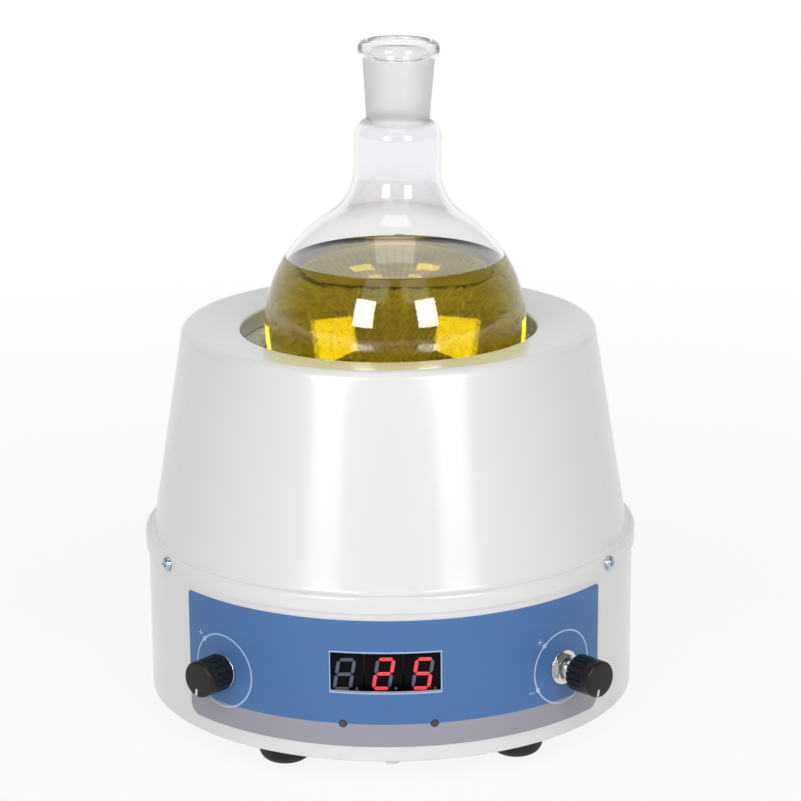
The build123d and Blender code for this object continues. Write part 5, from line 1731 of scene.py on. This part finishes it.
@dataclass
class Studio:
    """Pale floor, soft lamps and the camera."""

    camera_place: tuple[float, float, float] = (0.0, -1.0914, 0.4199)
    yaw: float = 0.2367
    pitch: float = 15.244
    roll: float = 0.4555
    lens: float = 127.62
    sensor_width: float = 36.0
    clip_range: Point = (0.05, 40.0)
    floor_half: float = 6.0
    floor_colour: Colour = (0.93, 0.93, 0.93)
    fade_middle: float = 500.0
    fade_width: float = 600.0
    near_share: float = 0.88
    world_strength: float = 0.31
    glossy_front: float = 0.12
    clear_front: float = 0.25
    front_until: float = 0.1
    back_from: float = 0.8
    bounces: int = 32

    def build(self) -> None:
        """Sets up floor, world, lamps and camera."""
        self._floor()
        self._world()
        self._lamps()
        self._camera()
        scene = bpy.context.scene
        scene.view_settings.view_transform = "Standard"
        scene.cycles.max_bounces = self.bounces
        scene.cycles.transmission_bounces = self.bounces

    def _floor(self) -> None:
        """Wide pale floor that keeps the object's shadow."""
        h = self.floor_half
        paint = Paint("studio_floor", Base_Color=self.floor_colour, Roughness=0.9,
                      Specular_IOR_Level=0.0)
        path = paint.node("ShaderNodeLightPath").outputs
        seen = Wire(paint, path["Is Camera Ray"]).either(path["Is Glossy Ray"])
        seen = seen.either(path["Is Transmission Ray"])
        glow = paint.node("ShaderNodeEmission", inputs={"Color": (1.0, 1.0, 1.0), "Strength": 1.0})
        x, y, _ = paint.coordinates()
        far = step((x * x + y * y).maths("SQRT"), self.fade_middle, self.fade_width)
        share = seen * (far * (1.0 - self.near_share) + self.near_share)
        mix = paint.node("ShaderNodeMixShader",
                         inputs={0: share, 1: paint.shader.outputs[0], 2: glow.outputs[0]})
        paint.feed(paint.output, "Surface", mix.outputs[0])
        floor = finish_mesh("floor", [(-h, -h, 0), (h, -h, 0), (h, h, 0), (-h, h, 0)],
                            [(0, 1, 2, 3)], paint.material)

    def _world(self) -> None:
        """White background, with less light on the object.

        Reflections and what the glass lets through see it white behind the object and dim in
        front.
        """
        world = bpy.data.worlds.new("studio")
        world.use_nodes = True
        sky = NodeTree(world.node_tree)
        sky.tree.nodes.clear()
        rays = sky.node("ShaderNodeLightPath").outputs
        heading = sky.node("ShaderNodeTexCoord").outputs["Generated"]
        direction = sky.node("ShaderNodeSeparateXYZ", inputs={0: heading})
        behind = sky.node("ShaderNodeMapRange",
                          inputs={"Value": direction.outputs[1], "From Min": self.front_until,
                                  "From Max": self.back_from}).outputs[0]
        strength: Feed = self.world_strength
        for ray, front in (("Is Glossy Ray", self.glossy_front),
                           ("Is Transmission Ray", self.clear_front)):
            strength = sky.between(rays[ray], strength, sky.between(behind, front, 1.0))
        strength = sky.between(rays["Is Camera Ray"], strength, 1.0)
        back = sky.node("ShaderNodeBackground",
                        inputs={"Color": (1.0, 1.0, 1.0), "Strength": strength})
        sky.node("ShaderNodeOutputWorld", inputs={"Surface": back.outputs[0]})
        bpy.context.scene.world = world

    @staticmethod
    def _lamps() -> None:
        """Softboxes with brighter faces, low strips, fill lamps and a lamp overhead."""
        receivers = bpy.data.collections.new("enamelled_pieces")
        for name in ENAMELLED:
            receivers.objects.link(bpy.data.objects[name])
        for side in (-1.0, 1.0):
            for lamp in PAIRED_LAMPS:
                lamp.build(side, receivers)
        OVERHEAD.build(1.0, receivers)

    def _camera(self) -> None:
        """Camera at the viewing angle."""
        data = bpy.data.cameras.new("camera")
        data.lens = self.lens
        data.sensor_width = self.sensor_width
        data.clip_start, data.clip_end = self.clip_range
        camera = bpy.data.objects.new("camera", data)
        bpy.context.scene.collection.objects.link(camera)
        yaw, pitch, roll = radians(self.yaw), radians(self.pitch), radians(self.roll)
        ahead = Vector((sin(yaw) * cos(pitch), cos(yaw) * cos(pitch), -sin(pitch)))
        right = Vector((cos(yaw), -sin(yaw), 0.0))
        up = right.cross(ahead)
        across = right * cos(roll) - up * sin(roll)
        top = right * sin(roll) + up * cos(roll)
        turn = Matrix((across, top, -ahead)).transposed().to_4x4()
        camera.matrix_world = Matrix.Translation(self.camera_place) @ turn
        bpy.context.scene.camera = camera


def main() -> None:
    """Builds every sub-assembly in order."""
    logging.basicConfig(level=logging.INFO, format="%(name)s: %(message)s")
    finishes = Finishes()
    assemblies = [
        Base(finishes), Cover(finishes), Panel(finishes),
        Control(finishes, "speed", Body.SPEED, -41.5, 98.9, -10.0),
        Control(finishes, "heat", Body.HEAT, 42.3, 105.4, -15.0),
        PanelNuts(finishes), RearFittings(finishes), HeatingNest(finishes), Flask(finishes),
        Stirrer(finishes), PowerBoard(finishes),
    ]
    for assembly in assemblies:
        assembly.build()
        LOG.info("%s is built", type(assembly).__name__)
    Studio().build()


if __name__ == "__main__":
    main()
